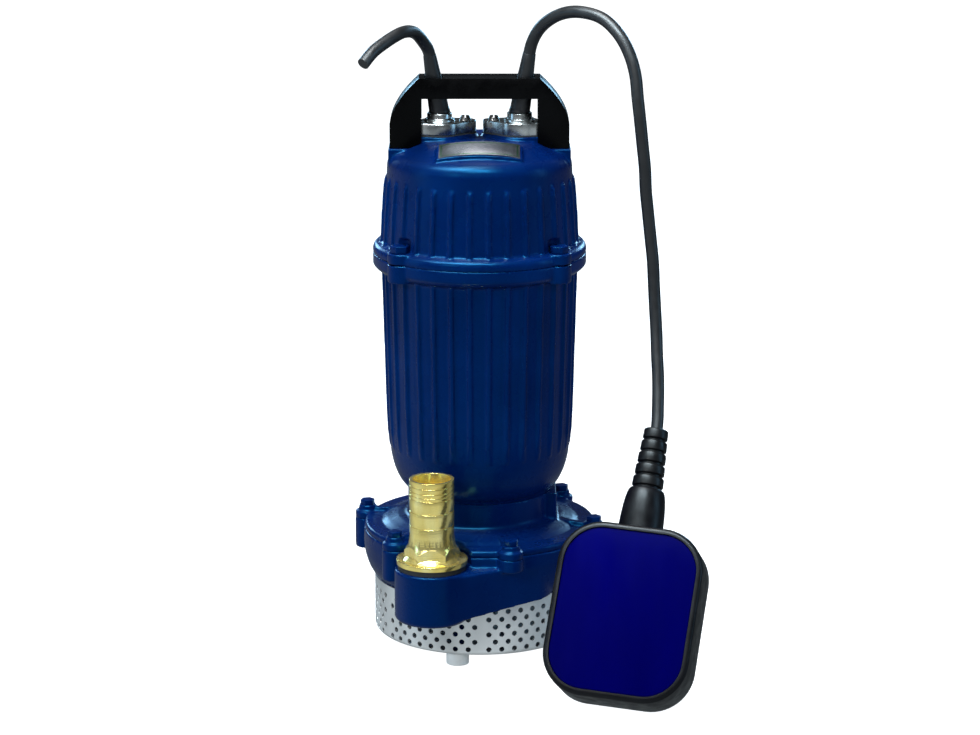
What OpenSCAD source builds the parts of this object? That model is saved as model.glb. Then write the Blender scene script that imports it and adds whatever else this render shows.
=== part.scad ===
// Submersible sump pump with a float switch: cast body, perforated strainer, hose tail and carry handle.
// The origin is on the pump's axis at the plane that its feet stand on. +Z is up, the outlet is at -Y.

/* [Feet and strainer] */
// Diameter of a foot
foot_d = 17.5; // [12:0.5:20]
// Height of a foot
foot_h = 10; // [8:0.5:14]
// Distance between the circle of feet and the strainer's outside
foot_inset = 12.5; // [11.5:0.5:16]
// Turn of the first foot from the front
foot_turn = -14; // [-20:1:-8]
// Outer diameter of the strainer
strainer_d = 165; // [162:0.5:166]
// Sheet thickness of the strainer
strainer_t = 1.2; // [0.8:0.1:1.4]
// Height of the strainer
strainer_h = 44; // [40:1:48]
// Radius of the strainer's lower edge
strainer_edge_r = 4.5; // [3:0.5:6]
// Diameter of a strainer hole
hole_d = 4.1; // [3:0.1:4.5]
// Rows of strainer holes
hole_rows = 6; // [3:1:6]
// Height between two rows of holes
hole_row_pitch = 6; // [5.2:0.1:6.2]
// Blank strips in the ring of holes
hole_groups = 6; // [4:1:6]
// Holes of one row between two blank strips
hole_columns = 8; // [4:1:8]
// Angle between two holes of a row
hole_pitch_a = 7; // [5.5:0.1:7]

/* [Pump casing] */
// Outer radius of the casing
casing_r = 91; // [90:0.5:92]
// Height of the casing
casing_h = 37; // [35:1:40]
// Thickness of the casing floor
casing_floor_t = 6; // [5:0.5:7]
// Radius of the pump chamber
chamber_r = 66; // [60:1:68]
// Radius of the suction eye
eye_r = 24; // [22:0.5:26]
// Wall of the wear ring
wear_ring_t = 3; // [2:0.5:4]
// Radius of the circle of casing bolts
casing_bolt_circle_r = 92; // [91:0.5:93]
// Turn of the first casing bolt from the front
casing_bolt_turn = 15; // [12:1:18]
// Diameter of the casing lugs
casing_lug_d = 19.5; // [17:0.5:21]
// Length of the casing lugs
casing_lug_h = 24; // [20:1:28]
// Distance of the outlet to the left of the pump's axis
outlet_x = -36; // [-40:1:-32]
// Distance of the outlet in front of the pump's axis
outlet_y = -92; // [-95:1:-90]
// Radius of the outlet boss
boss_r = 28.5; // [27.5:0.5:29]
// Radius of the outlet passage
outlet_bore_r = 15; // [12:0.5:17]

/* [Casing cover] */
// Thickness of the cover's flange
cover_flange_t = 5; // [3:0.5:6]
// Rise of the cover from its flange to its neck
cover_rise = 7; // [6:0.5:9]
// Outer radius of the oil chamber's neck
neck_r = 56; // [54:0.5:58]
// Height of the neck's top above the feet plane
neck_top_z = 123; // [122:1:128]
// Radius of the oil chamber
oil_chamber_r = 47; // [40:1:49]

/* [Motor housing] */
// Wall radius of the housing at its flange
housing_top_r = 73; // [72:0.5:74]
// Wall radius of the housing above its bowl
housing_low_r = 70; // [69.5:0.5:71]
// Height of the joint between the housing and the top cover
joint_z = 311; // [306:1:320]
// Radius of the joint's flange
flange_r = 82; // [81:0.5:84]
// Thickness of the housing's flange
housing_flange_t = 12; // [9:0.5:14]
// Radius of the stator's seat
stator_seat_r = 65; // [64:0.5:66]
// Ribs round the body
rib_count = 32; // [16:4:36]
// Width of a rib
rib_w = 3.2; // [2:0.2:4]
// Height of a rib above the wall
rib_proud = 2.6; // [1.5:0.1:3]

/* [Top cover] */
// Thickness of the top cover's flange
lid_flange_t = 8; // [6:0.5:10]
// Height of the top cover's shoulder above the joint
lid_shoulder_h = 67; // [62:1:74]
// Height of the top cover's crown above the joint
lid_crown_h = 88; // [86:0.5:90]
// Radius of the circle of cover bolts
lid_bolt_circle_r = 77; // [76:0.5:78]
// Angle of a cover bolt from the front
lid_bolt_a = 50; // [46:1:54]
// Diameter of the joint's lugs
lid_lug_d = 21; // [18:0.5:22]

/* [Cable glands] */
// Distance of a gland from the middle
gland_x = 30.5; // [30:0.5:32]
// Turn of a gland plate
gland_turn = 15; // [10:1:16]
// Distance between a gland plate's middle and its screw
gland_screw_gap = 19; // [18:0.5:19.5]
// Radius of a gland plate's middle
gland_mid_r = 17; // [15:0.5:18]
// Radius of a gland plate's end
gland_end_r = 7.5; // [6.5:0.5:7.5]
// Distance between a gland plate's middle and its inner screw
gland_inner_gap = 20.3; // [19:0.1:20.5]
// Radius of a gland plate's inner end
gland_inner_r = 8.3; // [7:0.1:8.5]
// Thickness of a gland plate
gland_t = 9; // [8:0.5:10]
// Height of a gland plate's collar
gland_collar_h = 6.5; // [5:0.5:8]
// Outer radius of a gland plate's collar
gland_collar_r = 9.5; // [9:0.5:10]
// Diameter of both cables
cable_d = 9.4; // [8:0.2:10]
// Length of a cable sleeve above its collar
sleeve_l = 47; // [44:1:50]
// Outward lean of the cable sleeves
sleeve_lean = 9; // [6:1:10]

/* [Handle] */
// Width over the handle's legs
handle_w = 136.5; // [134:0.5:139]
// Depth of the handle
handle_depth = 26; // [26:0.5:30]
// Height of the handle above the cover's ears
handle_h = 53.5; // [50:0.5:54.5]
// Height of the grip bar
grip_h = 15.5; // [12:0.5:18]
// Width of a leg
leg_w = 24; // [23:0.5:26]
// Wall of the handle
handle_wall = 3; // [2:0.5:3]
// Width of the bar's flat top
grip_flat_w = 92; // [88:1:96]

/* [Hose tail] */
// Outer radius of the hose tail's stem
tail_r = 17; // [16:0.1:19]
// Wall of the hose tail's stem
tail_wall = 2.4; // [1.8:0.1:3]
// Height of the hose tail above its flange
tail_h = 62.5; // [50:0.5:80]
// Width across the flats of the hose tail's hexagon
tail_hex_af = 36.5; // [36:0.5:41]

/* [Float] */
// Width of the float
float_w = 109; // [100:1:112]
// Length of the float's body
float_l = 131; // [122:1:136]
// Thickness of the float
float_t = 41; // [38:0.5:46]
// Corner radius of the float
float_corner_r = 32.5; // [26:0.5:34]
// Wall of the float's rim
float_rim_t = 4.5; // [3:0.5:5]
// Length of the float's cable boot
boot_l = 46; // [40:1:50]
// Length of the cone between the boot and the float
cone_l = 32; // [30:1:38]
// Radius of the ball inside the float
ball_r = 7.5; // [6:0.5:8]
// Travel of the ball inside the float
ball_travel = 24; // [16:1:26]

/* [Motor] */
// Radius of the shaft in its bearings
shaft_r = 8.5; // [8:0.1:9]
// Outer radius of the rotor
rotor_r = 36; // [30:0.5:38]
// Gap between the rotor and the stator
air_gap = 0.6; // [0.4:0.1:1]
// Length of the rotor's and the stator's core
core_l = 80; // [60:1:84]
// Slots of the stator
slot_count = 24; // [12:6:24]
// Radius of the impeller
impeller_r = 51; // [40:1:56]
// Vanes of the impeller
vane_count = 6; // [4:1:8]

/* [Hidden] */

round_fn = 64;
small_fn = 32;
e = 0.01;
// Clearance of a piece that is seated in its own body
seat_gap = 0.02;
// Clearance between curved faces that move past each other
run_gap = 0.3;

blue = [0.02, 0.12, 0.36];
steel = [0.82, 0.81, 0.79];
black = [0.07, 0.07, 0.08];
brass_yellow = [0.85, 0.69, 0.33];
white = [0.92, 0.92, 0.91];
float_blue = [0.01, 0.01, 0.42];
copper = [0.72, 0.38, 0.2];

// Heights of the wet end
casing_z = foot_h + strainer_h;
casing_top = casing_z + casing_h;
cover_top = casing_top + cover_flange_t;
neck_z = cover_top + cover_rise;
cover_plate_z = casing_top - 6;
cover_plate_top = casing_top + 1;
strainer_r = strainer_d / 2;
post_r = 6;
foot_screw_r = 2;
foot_screw_l = 24;
foot_head_r = 2 * foot_screw_r;
foot_head_h = 2;
foot_head_z = foot_h - 4;
foot_circle_d = strainer_d - 2 * foot_inset;
foot_bore_l = foot_screw_l - 2;
first_hole_z = foot_h + 5.3;
hole_group_a = 360 / hole_groups;
hole_strip_turn = 1.2;
bolt_boss_r = 6.75;
bolt_boss_h = 5;
lug_rib_w = 6;
m6_r = 3;
m6_af = 10;
m6_head_h = 4;
// How far a casing bolt and its hole stay above their lug's bottom
bolt_above_lug = 4;
hole_above_lug = 3;
short_lug_h = 10;
function lug_h(i) = i == 0 ? short_lug_h : casing_lug_h;
function casing_bolt_l(i) = lug_h(i) + cover_flange_t + bolt_boss_h - bolt_above_lug;

// The outlet arm
boss_top = casing_top - 6.5;
boss_z = casing_z - 10;
boss_gap = 0.4;
boss_chamfer = 2.6;
arm_r = 22;
arm_x = 33.4;
arm_y = -59.2;
arm_top = casing_top - 8;
arm_rise_a = 5;
passage_z = casing_z + 14;
outlet_gasket_t = 4;
recess_r = boss_r + 0.8;
casing_gasket_r = [chamber_r + 3, chamber_r + 0.8];
gasket_r = boss_r - 2.5;
tail_z = boss_top + outlet_gasket_t;
tail_flange_t = 3.5;
tail_hex_z = tail_z + tail_flange_t;
tail_hex_h = 11;
tail_lobe_slope = 1.5;
tail_cone_h = 8;
tail_bore_r = tail_r - tail_wall;
groove_w = 0.9;
groove_depth = 0.5;
groove_down = [3.6, 7.6, 10.6, 13.4, 23.6, 35];

// Heights of the motor
floor_z = neck_top_z;
floor_top = floor_z + 10;
bowl_r = 50;
bowl_z = floor_z + 42;
lower_bearing_z = floor_top + 1;
lower_bearing_w = 14;
lower_bearing_r = 23.5;
bearing_boss_r = 30;
bearing_boss_top = lower_bearing_z + lower_bearing_w + 1;
winding_r = 58;
winding_in_r = rotor_r + 4;
slot_in_r = rotor_r + 2;
slot_w = 3.4;
slot_out_r = 55;
bracket_t = 8;
bracket_r = 68;
bracket_z = joint_z - bracket_t;
// The height that the cores leave free between the housing's floor and the bracket
core_free_h = bracket_z - floor_top - core_l - 4;
stator_seat_z = floor_top + core_free_h * 45 / 86;
core_z = stator_seat_z + 2;
winding_h = core_free_h * 20 / 86;
upper_bearing_w = 12;
upper_bearing_z = joint_z - 16;
upper_bearing_r = 20;
bracket_hub_r = 27;
bracket_hub_z = upper_bearing_z - 4;
ring_race_t = 4;
flange_z = joint_z - housing_flange_t;
flange_round = 3;
flange_neck = 3;
m8_r = 4;
m8_af = 13;
m8_head_h = 5.5;
bolt_pocket_r = 8.3;
bolt_pocket_h = 10;
lug_part = 0.4;
o_ring_r = 71.2;
o_ring_w = 1.2;
screw_gap = 0.1;

// The top cover
lid_wall_r = 74;
lid_wall_top_r = 70.8;
lid_flange_z = joint_z + lid_flange_t;
lid_shoulder_z = joint_z + lid_shoulder_h;
lid_crown_z = joint_z + lid_crown_h;
lid_slope_z = lid_crown_z - 9;
lid_slope_r = 60;
lid_crown_r = 44;
lid_rib_top = lid_shoulder_z - 9;
lid_cavity_r = 66;
pad_z = lid_crown_z + 2.5;
pad_margin = 1;
gland_y = 1;
gland_gasket_t = 1;
gland_z = pad_z + gland_gasket_t;
gland_top = gland_z + gland_t;
collar_top = gland_top + gland_collar_h;
sleeve_barrel_r = 7.6;
sleeve_bottom_z = lid_crown_z - 11;
sleeve_flare_r = 8.2;
sleeve_root_r = 7.7;
sleeve_tip_r = 5.2;
// Forward lean of the mains sleeve and of the float sleeve
sleeve_nods = [12, 6];
sleeve_flare_h = 5;
sleeve_flare_top_r = 7;
sleeve_cone_start = 2.4;
gland_screw_r = 2.5;
gland_screw_l = 14;
gland_head_r = 4.6;
gland_head_h = 3.2;
// Room that the cover's ears keep free round a gland plate
gland_clear = 0.5;
ear_top = joint_z + 81.7;
ear_h = 14;
ear_w = 27;
ear_depth = 30;
ear_out = 1.2;
tongue_t = 7;
tongue_h = 18;
tongue_gap = 0.2;

// Inside the top cover
capacitor_r = 17;
capacitor_h = 52;
capacitor_y = 36;
capacitor_pin_x = 5;
capacitor_pin_r = 2;
capacitor_pin_h = 6;
clip_t = 2;
clip_h = 8;
terminal_w = 80;
terminal_l = 16;
terminal_h = 14;
lead_r = 3.5;
lead_depth = 6;

// The handle
handle_y = -2;
handle_top = ear_top + handle_h;
handle_hw = handle_w / 2;
handle_bend_z = 19;
handle_bend_x = 2.3;
handle_bend_drop = 18;
handle_steps = 8;
leg_inner_x = handle_hw - leg_w;
handle_screw_z = ear_top + 10;
handle_screw_r = 2.5;
handle_head_r = 4.8;
sleeve_hole_r = 7.5;

// The nameplate lies on a low barrel-shaped pad on the cover's front slope
plate_w = 61;
plate_l = 19;
plate_t = 0.8;
plate_lean = 21;
plate_y = -47.5;
plate_z = lid_crown_z - 0.5;
plate_bend_r = 150;

// Cable routes: hand-chosen points from each sleeve's end
float_route = [
  [43, -10, 480], [52, -19, 491], [64, -29, 498], [77, -40, 500], [91, -51, 497], [102, -61, 488],
  [110, -68, 475], [115, -73, 459], [117, -76, 441], [119, -76, 424], [121, -75, 406],
  [123, -73, 388], [124, -70, 371], [126, -68, 353], [128, -67, 335], [130, -67, 317],
  [131, -67, 299], [132, -69, 281], [133, -72, 264], [133.5, -77, 247],
  [134.2, -83, 230], [134, -90, 213]
];
mains_route = [
  [-44, -18, 477], [-49.5, -28.5, 483.5], [-56, -41.5, 485.5], [-62.5, -53, 484], [-70, -64.5, 480.5],
  [-78, -75, 475.5], [-85, -84.5, 468]
];
float_route_normal = [0.6, 0.8, 0];
mains_route_normal = [0.848, -0.53, 0];
cable_sides = 10;

// The float hangs from a swivel at the end of its cable
swivel = [133.5, -97, 198.6];
float_turn = [-29.5, 3, -14.5];
swivel_gap = cable_d / 2 + run_gap;
boot_top = -swivel_gap;
boot_bottom = boot_top - boot_l;
cone_bottom = boot_bottom - cone_l;
float_bottom = cone_bottom - float_l;
face_t = 3;
face_sink = 1;
face_gap = 0.2;
boot_top_r = 9.2;
boot_low_r = 11.6;
boot_groove = 1.5;
boot_ribs = 5;
boot_rib_share = 0.84;
cone_top_r = 13.6;
cone_low_r = 16.7;
tube_t = 2;
tube_in_r = ball_r + run_gap;
tube_low_z = cone_bottom - 96;
tube_l = 2 * ball_r + ball_travel + 8;
switch_z = tube_low_z + tube_l;
plunger_r = 2;
plunger_out = 3;
plunger_hole = 8;
frame_t = 2;

// The rotor
seal_shaft_r = 8;
impeller_seat_r = 7;
shaft_low_z = casing_z + 4;
nut_z = shaft_low_z + 2;
nut_h = 8;
nut_af = 18;
impeller_z = casing_z + casing_floor_t + 1.5;
impeller_back_t = 3;
impeller_back_z = cover_plate_z - impeller_back_t - 1.5;
hub_r = 13;
hub_z = nut_z + nut_h;
key_w = 4;
key_h = 2;
rotor_seat_r = 13;
race_gap = 0.3;
ball_count = 8;
seal_hole_r = 15;
seal_seat_z = cover_plate_z + 1;
oil_seal_r = 12.5;

// Helpers: front(a) is the direction at angle a from the front, towards +X
function arc(c, r, a0, a1, n) = [for (i = [0:n]) let (a = a0 + (a1 - a0) * i / n)
  [c[0] + r * cos(a), c[1] + r * sin(a)]];
function ellipse_arc(c, rx, ry, a0, a1, n) = [for (i = [0:n]) let (a = a0 + (a1 - a0) * i / n)
  [c[0] + rx * cos(a), c[1] + ry * sin(a)]];
function bezier(p, q, s, n) = [for (i = [0:n]) let (t = i / n)
  (1 - t) * (1 - t) * p + 2 * t * (1 - t) * q + t * t * s];
function unit(v) = v / norm(v);

module at_front(r, a, z = 0) {
  translate([r * sin(a), -r * cos(a), z]) rotate([0, 0, a]) children();
}
module ring(r_out, r_in, z, h) {
  translate([0, 0, z]) difference() {
    cylinder(r = r_out, h = h, $fn = round_fn);
    translate([0, 0, -1]) cylinder(r = r_in, h = h + 2, $fn = round_fn);
  }
}
module disc(r, z, h) {
  translate([0, 0, z]) cylinder(r = r, h = h, $fn = round_fn);
}
module hex(af, z, h) {
  translate([0, 0, z]) cylinder(r = af / 2 / cos(30), h = h, $fn = 6);
}
module turned(points) {
  rotate_extrude($fn = round_fn) polygon(points);
}
// An upright fin whose outline is given as radius and height, turned to angle a from the front
module fin(points, w, a) {
  rotate([0, 0, a]) translate([w / 2, 0, 0]) rotate([90, 0, -90]) linear_extrude(w) polygon(points);
}
// Two upright round columns and the straight walls that touch both
module tangent_bar(x1, y1, r1, x2, y2, r2, z, h) {
  d = norm([x2 - x1, y2 - y1]);
  way = atan2(y2 - y1, x2 - x1);
  swing = acos((r1 - r2) / d);
  translate([x1, y1, z]) cylinder(r = r1, h = h, $fn = round_fn);
  translate([x2, y2, z]) cylinder(r = r2, h = h, $fn = round_fn);
  translate([0, 0, z]) linear_extrude(h) polygon([
    [x1 + r1 * cos(way + swing), y1 + r1 * sin(way + swing)],
    [x1 + r1 * cos(way - swing), y1 + r1 * sin(way - swing)],
    [x2 + r2 * cos(way - swing), y2 + r2 * sin(way - swing)],
    [x2 + r2 * cos(way + swing), y2 + r2 * sin(way + swing)]
  ]);
}
module round_slab(w, l, r, t) {
  linear_extrude(t) union() {
    square([w - 2 * r, l], center = true);
    square([w, l - 2 * r], center = true);
    for (x = [-1, 1], y = [-1, 1]) {
      translate([x * (w / 2 - r), y * (l / 2 - r)]) circle(r = r, $fn = round_fn);
    }
  }
}
// A tube swept along its own points, with a radius for each ring
module swept_tube(points, radii, normal, dir0, dir1) {
  last = len(points) - 1;
  tangents = [for (i = [0:last])
    i == 0 ? unit(dir0) : i == last ? unit(dir1) : unit(points[i + 1] - points[i - 1])];
  rings = [for (i = [0:last], k = [0:cable_sides - 1])
    let (side = unit(cross(tangents[i], normal)), up = cross(side, tangents[i]), a = 360 * k / cable_sides)
    points[i] + radii[i] * (cos(a) * side + sin(a) * up)];
  walls = [for (i = [0:last - 1], k = [0:cable_sides - 1])
    let (a = i * cable_sides + k, b = i * cable_sides + (k + 1) % cable_sides)
    [a, b, b + cable_sides, a + cable_sides]];
  triangles = [for (w = walls, half = [0, 1]) half == 0 ? [w[0], w[2], w[1]] : [w[0], w[3], w[2]]];
  start_cap = [[for (k = [0:cable_sides - 1]) k]];
  end_cap = [[for (k = [cable_sides - 1:-1:0]) last * cable_sides + k]];
  polyhedron(points = rings, faces = concat(triangles, start_cap, end_cap), convexity = 6);
}

// ---- Feet and strainer ----
module feet() {
  color(white) for (i = [0:3]) at_front(foot_circle_d / 2, foot_turn + 90 * i) difference() {
    cylinder(r = foot_d / 2, h = foot_h, $fn = round_fn);
    translate([0, 0, foot_head_z]) cylinder(r = foot_screw_r + screw_gap, h = foot_h, $fn = small_fn);
    translate([0, 0, foot_head_z]) cylinder(r = foot_head_r + screw_gap, h = foot_head_h, $fn = small_fn);
  }
}
// Each screw's head is moulded into its foot
module foot_screws() {
  color(steel) for (i = [0:3]) at_front(foot_circle_d / 2, foot_turn + 90 * i, foot_head_z) {
    cylinder(r = foot_head_r, h = foot_head_h, $fn = small_fn);
    cylinder(r = foot_screw_r, h = foot_screw_l, $fn = small_fn);
  }
}
module strainer_shell() {
  r = strainer_r;
  t = strainer_t;
  outer = arc([r - strainer_edge_r, strainer_edge_r], strainer_edge_r, -90, 0, 6);
  inner = arc([r - strainer_edge_r, strainer_edge_r], strainer_edge_r - t, 0, -90, 6);
  translate([0, 0, foot_h]) turned(concat([[0, 0]], outer, [[r, strainer_h], [r - t, strainer_h]],
    inner, [[0, t]]));
}
module strainer() {
  color(steel) difference() {
    strainer_shell();
    for (i = [0:3]) at_front(foot_circle_d / 2, foot_turn + 90 * i, foot_h - 1)
      cylinder(r = foot_screw_r + screw_gap, h = strainer_t + 2, $fn = small_fn);
    for (g = [0:hole_groups - 1], row = [0:hole_rows - 1], c = [0:hole_columns - 1]) {
      stagger = (row % 2 == 0 ? -1 : 1) * hole_pitch_a / 4;
      middle = hole_strip_turn + (g + 0.5) * hole_group_a;
      at_front(strainer_r - 3, middle + (c - (hole_columns - 1) / 2) * hole_pitch_a + stagger,
        first_hole_z + row * hole_row_pitch)
        rotate([90, 0, 0]) cylinder(r = hole_d / 2, h = 6, $fn = small_fn);
    }
  }
}

// ---- Pump casing ----
module wear_ring() {
  color(black) ring(eye_r - seat_gap, eye_r - wear_ring_t, casing_z, casing_floor_t);
}
module casing_body() {
  r = casing_r;
  bottom_r = strainer_r - strainer_t - 0.3;
  turned([[0, casing_z], [bottom_r, casing_z], [r - 6.5, casing_z + 4], [r - 4, casing_z + 8.5],
    [r - 2.2, casing_z + 13.5], [r - 0.8, casing_z + 19], [r, casing_z + 27], [r - 0.5, casing_top],
    [0, casing_top]]);
  turned([[bottom_r - 4, casing_z - 3], [bottom_r, casing_z - 3], [bottom_r, casing_z + 1],
    [bottom_r - 4, casing_z + 1]]);
  // The lug over the outlet arm is a short one
  for (i = [0:5]) at_front(casing_bolt_circle_r, casing_bolt_turn + 60 * i, casing_top - lug_h(i))
    cylinder(r = casing_lug_d / 2, h = lug_h(i), $fn = round_fn);
  for (i = [0:3]) at_front(foot_circle_d / 2, foot_turn + 90 * i, foot_h + strainer_t)
    cylinder(r = post_r, h = strainer_h, $fn = round_fn);
  difference() {
    union() {
      outlet_arm();
      translate([outlet_x, outlet_y, boss_z])
        cylinder(r1 = boss_r - boss_chamfer, r2 = boss_r, h = boss_chamfer + e, $fn = round_fn);
      translate([outlet_x, outlet_y, boss_z + boss_chamfer])
        cylinder(r = boss_r, h = boss_top - boss_z - boss_chamfer, $fn = round_fn);
    }
    disc(strainer_r + boss_gap, boss_z - 5, casing_z - boss_z + 5);
  }
}
// The arm from the scroll to the outlet boss: its underside rises away from the boss
module outlet_arm() {
  bottom_z = boss_z + boss_chamfer;
  difference() {
    tangent_bar(outlet_x, outlet_y, boss_r, arm_x, arm_y, arm_r, bottom_z, arm_top - bottom_z);
    translate([outlet_x, outlet_y, bottom_z]) rotate([0, 0, atan2(arm_y - outlet_y, arm_x - outlet_x)])
      rotate([0, -arm_rise_a, 0]) translate([-2 * boss_r, -2 * boss_r, -2 * boss_r])
      cube([7 * boss_r, 4 * boss_r, 2 * boss_r]);
  }
}
module pump_casing() {
  run = [arm_x - outlet_x, arm_y - outlet_y];
  color(blue) difference() {
    casing_body();
    disc(chamber_r, casing_z + casing_floor_t, casing_h);
    disc(eye_r, casing_z - 5, casing_floor_t + 10);
    translate([outlet_x, outlet_y, passage_z - outlet_bore_r + 5])
      cylinder(r = outlet_bore_r, h = casing_h, $fn = round_fn);
    translate([outlet_x, outlet_y, passage_z]) rotate([0, 0, atan2(run[1], run[0])]) rotate([0, 90, 0])
      cylinder(r = outlet_bore_r - 5, h = norm(run), $fn = round_fn);
    translate([outlet_x, outlet_y, boss_top]) cylinder(r = recess_r, h = 20, $fn = round_fn);
    ring(casing_gasket_r[0] + 0.1, casing_gasket_r[1] - 0.1, casing_top - 1.5, 5);
    for (i = [0:5]) at_front(casing_bolt_circle_r, casing_bolt_turn + 60 * i,
      casing_top - lug_h(i) + hole_above_lug) cylinder(r = m6_r + screw_gap, h = casing_lug_h, $fn = small_fn);
    for (i = [0:3]) at_front(foot_circle_d / 2, foot_turn + 90 * i, foot_h)
      cylinder(r = foot_screw_r + screw_gap, h = foot_bore_l, $fn = small_fn);
  }
}
module casing_gasket() {
  color(black) ring(casing_gasket_r[0], casing_gasket_r[1], casing_top - 1.5, 1.5);
}
module casing_cover() {
  spigot_r = chamber_r - seat_gap;
  color(blue) difference() {
    union() {
      turned([[0, cover_plate_z], [spigot_r, cover_plate_z], [spigot_r, casing_top],
        [casing_r - 1, casing_top], [casing_r - 1, cover_top - 1.4], [casing_r - 2.2, cover_top],
        [casing_r - 14, cover_top + 0.6], [casing_r - 18, cover_top + 2.8], [neck_r + 8, neck_z - 1],
        [neck_r + 2, neck_z + 0.4], [neck_r, neck_z + 2], [neck_r, neck_top_z], [0, neck_top_z]]);
      for (i = [0:5]) at_front(casing_bolt_circle_r, casing_bolt_turn + 60 * i, casing_top) {
        cylinder(r = casing_lug_d / 2 - 0.3, h = cover_flange_t + 0.6, $fn = round_fn);
        cylinder(r = bolt_boss_r, h = cover_flange_t + bolt_boss_h, $fn = round_fn);
      }
      for (i = [0:5]) fin([[neck_r + 10, cover_top - 1], [casing_bolt_circle_r - 2, cover_top - 1],
        [casing_bolt_circle_r - 2, cover_top + 3], [casing_r - 14, cover_top + 4.2],
        [neck_r + 10, neck_z - 1.5]], lug_rib_w, casing_bolt_turn + 60 * i);
      translate([neck_r - 16, -24, neck_z - 3]) cube([19.6, 48, neck_top_z - neck_z + 3]);
    }
    disc(oil_chamber_r, cover_plate_top, neck_top_z);
    disc(seal_hole_r, cover_plate_z - 1, 20);
    translate([outlet_x, outlet_y, cover_plate_z]) cylinder(r = recess_r, h = 40, $fn = round_fn);
    for (i = [0:5]) at_front(casing_bolt_circle_r, casing_bolt_turn + 60 * i, casing_top - 1)
      cylinder(r = m6_r + screw_gap, h = 20, $fn = small_fn);
    translate([neck_r - 16, 0, neck_z + 8]) rotate([0, 90, 0])
      cylinder(r = 6 + screw_gap, h = 20, $fn = small_fn);
    for (i = [0:3]) at_front(oil_chamber_r + 4.5, 45 + 90 * i, neck_top_z - 12)
      cylinder(r = 2 + screw_gap, h = 20, $fn = small_fn);
  }
}
module casing_bolts() {
  top = cover_top + bolt_boss_h;
  color(blue) for (i = [0:5]) at_front(casing_bolt_circle_r, casing_bolt_turn + 60 * i) {
    translate([0, 0, top - casing_bolt_l(i)]) cylinder(r = m6_r, h = casing_bolt_l(i) + e, $fn = small_fn);
    hex(m6_af, top, m6_head_h);
  }
}
module outlet_gasket() {
  color(black) translate([outlet_x, outlet_y, 0]) ring(gasket_r, outlet_bore_r, boss_top, outlet_gasket_t);
}
module hose_tail() {
  stem_z = tail_hex_z + tail_hex_h;
  color(brass_yellow) translate([outlet_x, outlet_y, 0]) difference() {
    union() {
      translate([0, 0, tail_z]) cylinder(r = boss_r - 1.5, h = tail_flange_t, $fn = round_fn);
      intersection() {
        hex(tail_hex_af, tail_hex_z - e, tail_hex_h + e);
        translate([0, 0, tail_hex_z - 1]) cylinder(r1 = tail_r + 1 + (tail_hex_h + 1) / tail_lobe_slope,
          r2 = tail_r + 1, h = tail_hex_h + 1 + e, $fn = round_fn);
      }
      translate([0, 0, tail_hex_z]) cylinder(r1 = tail_hex_af / 2 + 4, r2 = tail_hex_af / 2,
        h = 3, $fn = round_fn);
      translate([0, 0, stem_z - e]) cylinder(r1 = tail_r + 1, r2 = tail_r, h = tail_cone_h, $fn = round_fn);
      disc(tail_r, stem_z, tail_h - tail_hex_h);
    }
    disc(tail_bore_r, tail_z - 1, tail_h + 10);
    for (down = groove_down) ring(tail_r + 1, tail_r - groove_depth,
      tail_hex_z + tail_h - down - groove_w, groove_w);
  }
}
module oil_plug() {
  color(blue) translate([neck_r - 8, 0, neck_z + 8]) rotate([0, 90, 0]) difference() {
    cylinder(r = 6, h = 11, $fn = small_fn);
    translate([0, 0, 7]) cylinder(r = 3, h = 5, $fn = 6);
  }
}
module seal_seat() {
  color([0.3, 0.3, 0.32]) ring(seal_hole_r - seat_gap, seal_shaft_r + run_gap, seal_seat_z,
    cover_plate_top - seal_seat_z);
}
module oil_seal() {
  color(black) ring(oil_seal_r - seat_gap, seal_shaft_r + run_gap, floor_z + 1, 7);
}

// ---- Motor housing ----
module housing_rib(a) {
  top_r = housing_top_r + rib_proud;
  low_r = housing_low_r + rib_proud;
  fin([[housing_low_r - 4, flange_z + 1], [top_r, flange_z + 1], [low_r, bowl_z + 22],
    [low_r - 0.8, bowl_z + 6], [low_r - 2.2, bowl_z - 6], [housing_low_r - 4, bowl_z - 14],
    [housing_low_r - 6, bowl_z - 8]], rib_w, a);
}
module housing_solid() {
  turned(concat([[0, floor_z], [neck_r - 0.3, floor_z], [neck_r - 0.3, floor_z + 1.6]],
    ellipse_arc([bowl_r, bowl_z], housing_low_r - bowl_r, bowl_z - floor_z, -72, 0, 8),
    [[housing_top_r, flange_z - flange_neck], [flange_r - flange_round, flange_z],
    [flange_r, flange_z + flange_round], [flange_r, joint_z], [0, joint_z]]));
  for (i = [0:rib_count - 1]) housing_rib(360 * (i + 0.5) / rib_count);
  for (a = [lid_bolt_a, 180 - lid_bolt_a], s = [-1, 1])
    at_front(lid_bolt_circle_r, s * a, flange_z - 2)
    cylinder(r = lid_lug_d / 2, h = joint_z - flange_z + 2 - lug_part, $fn = round_fn);
}
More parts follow.
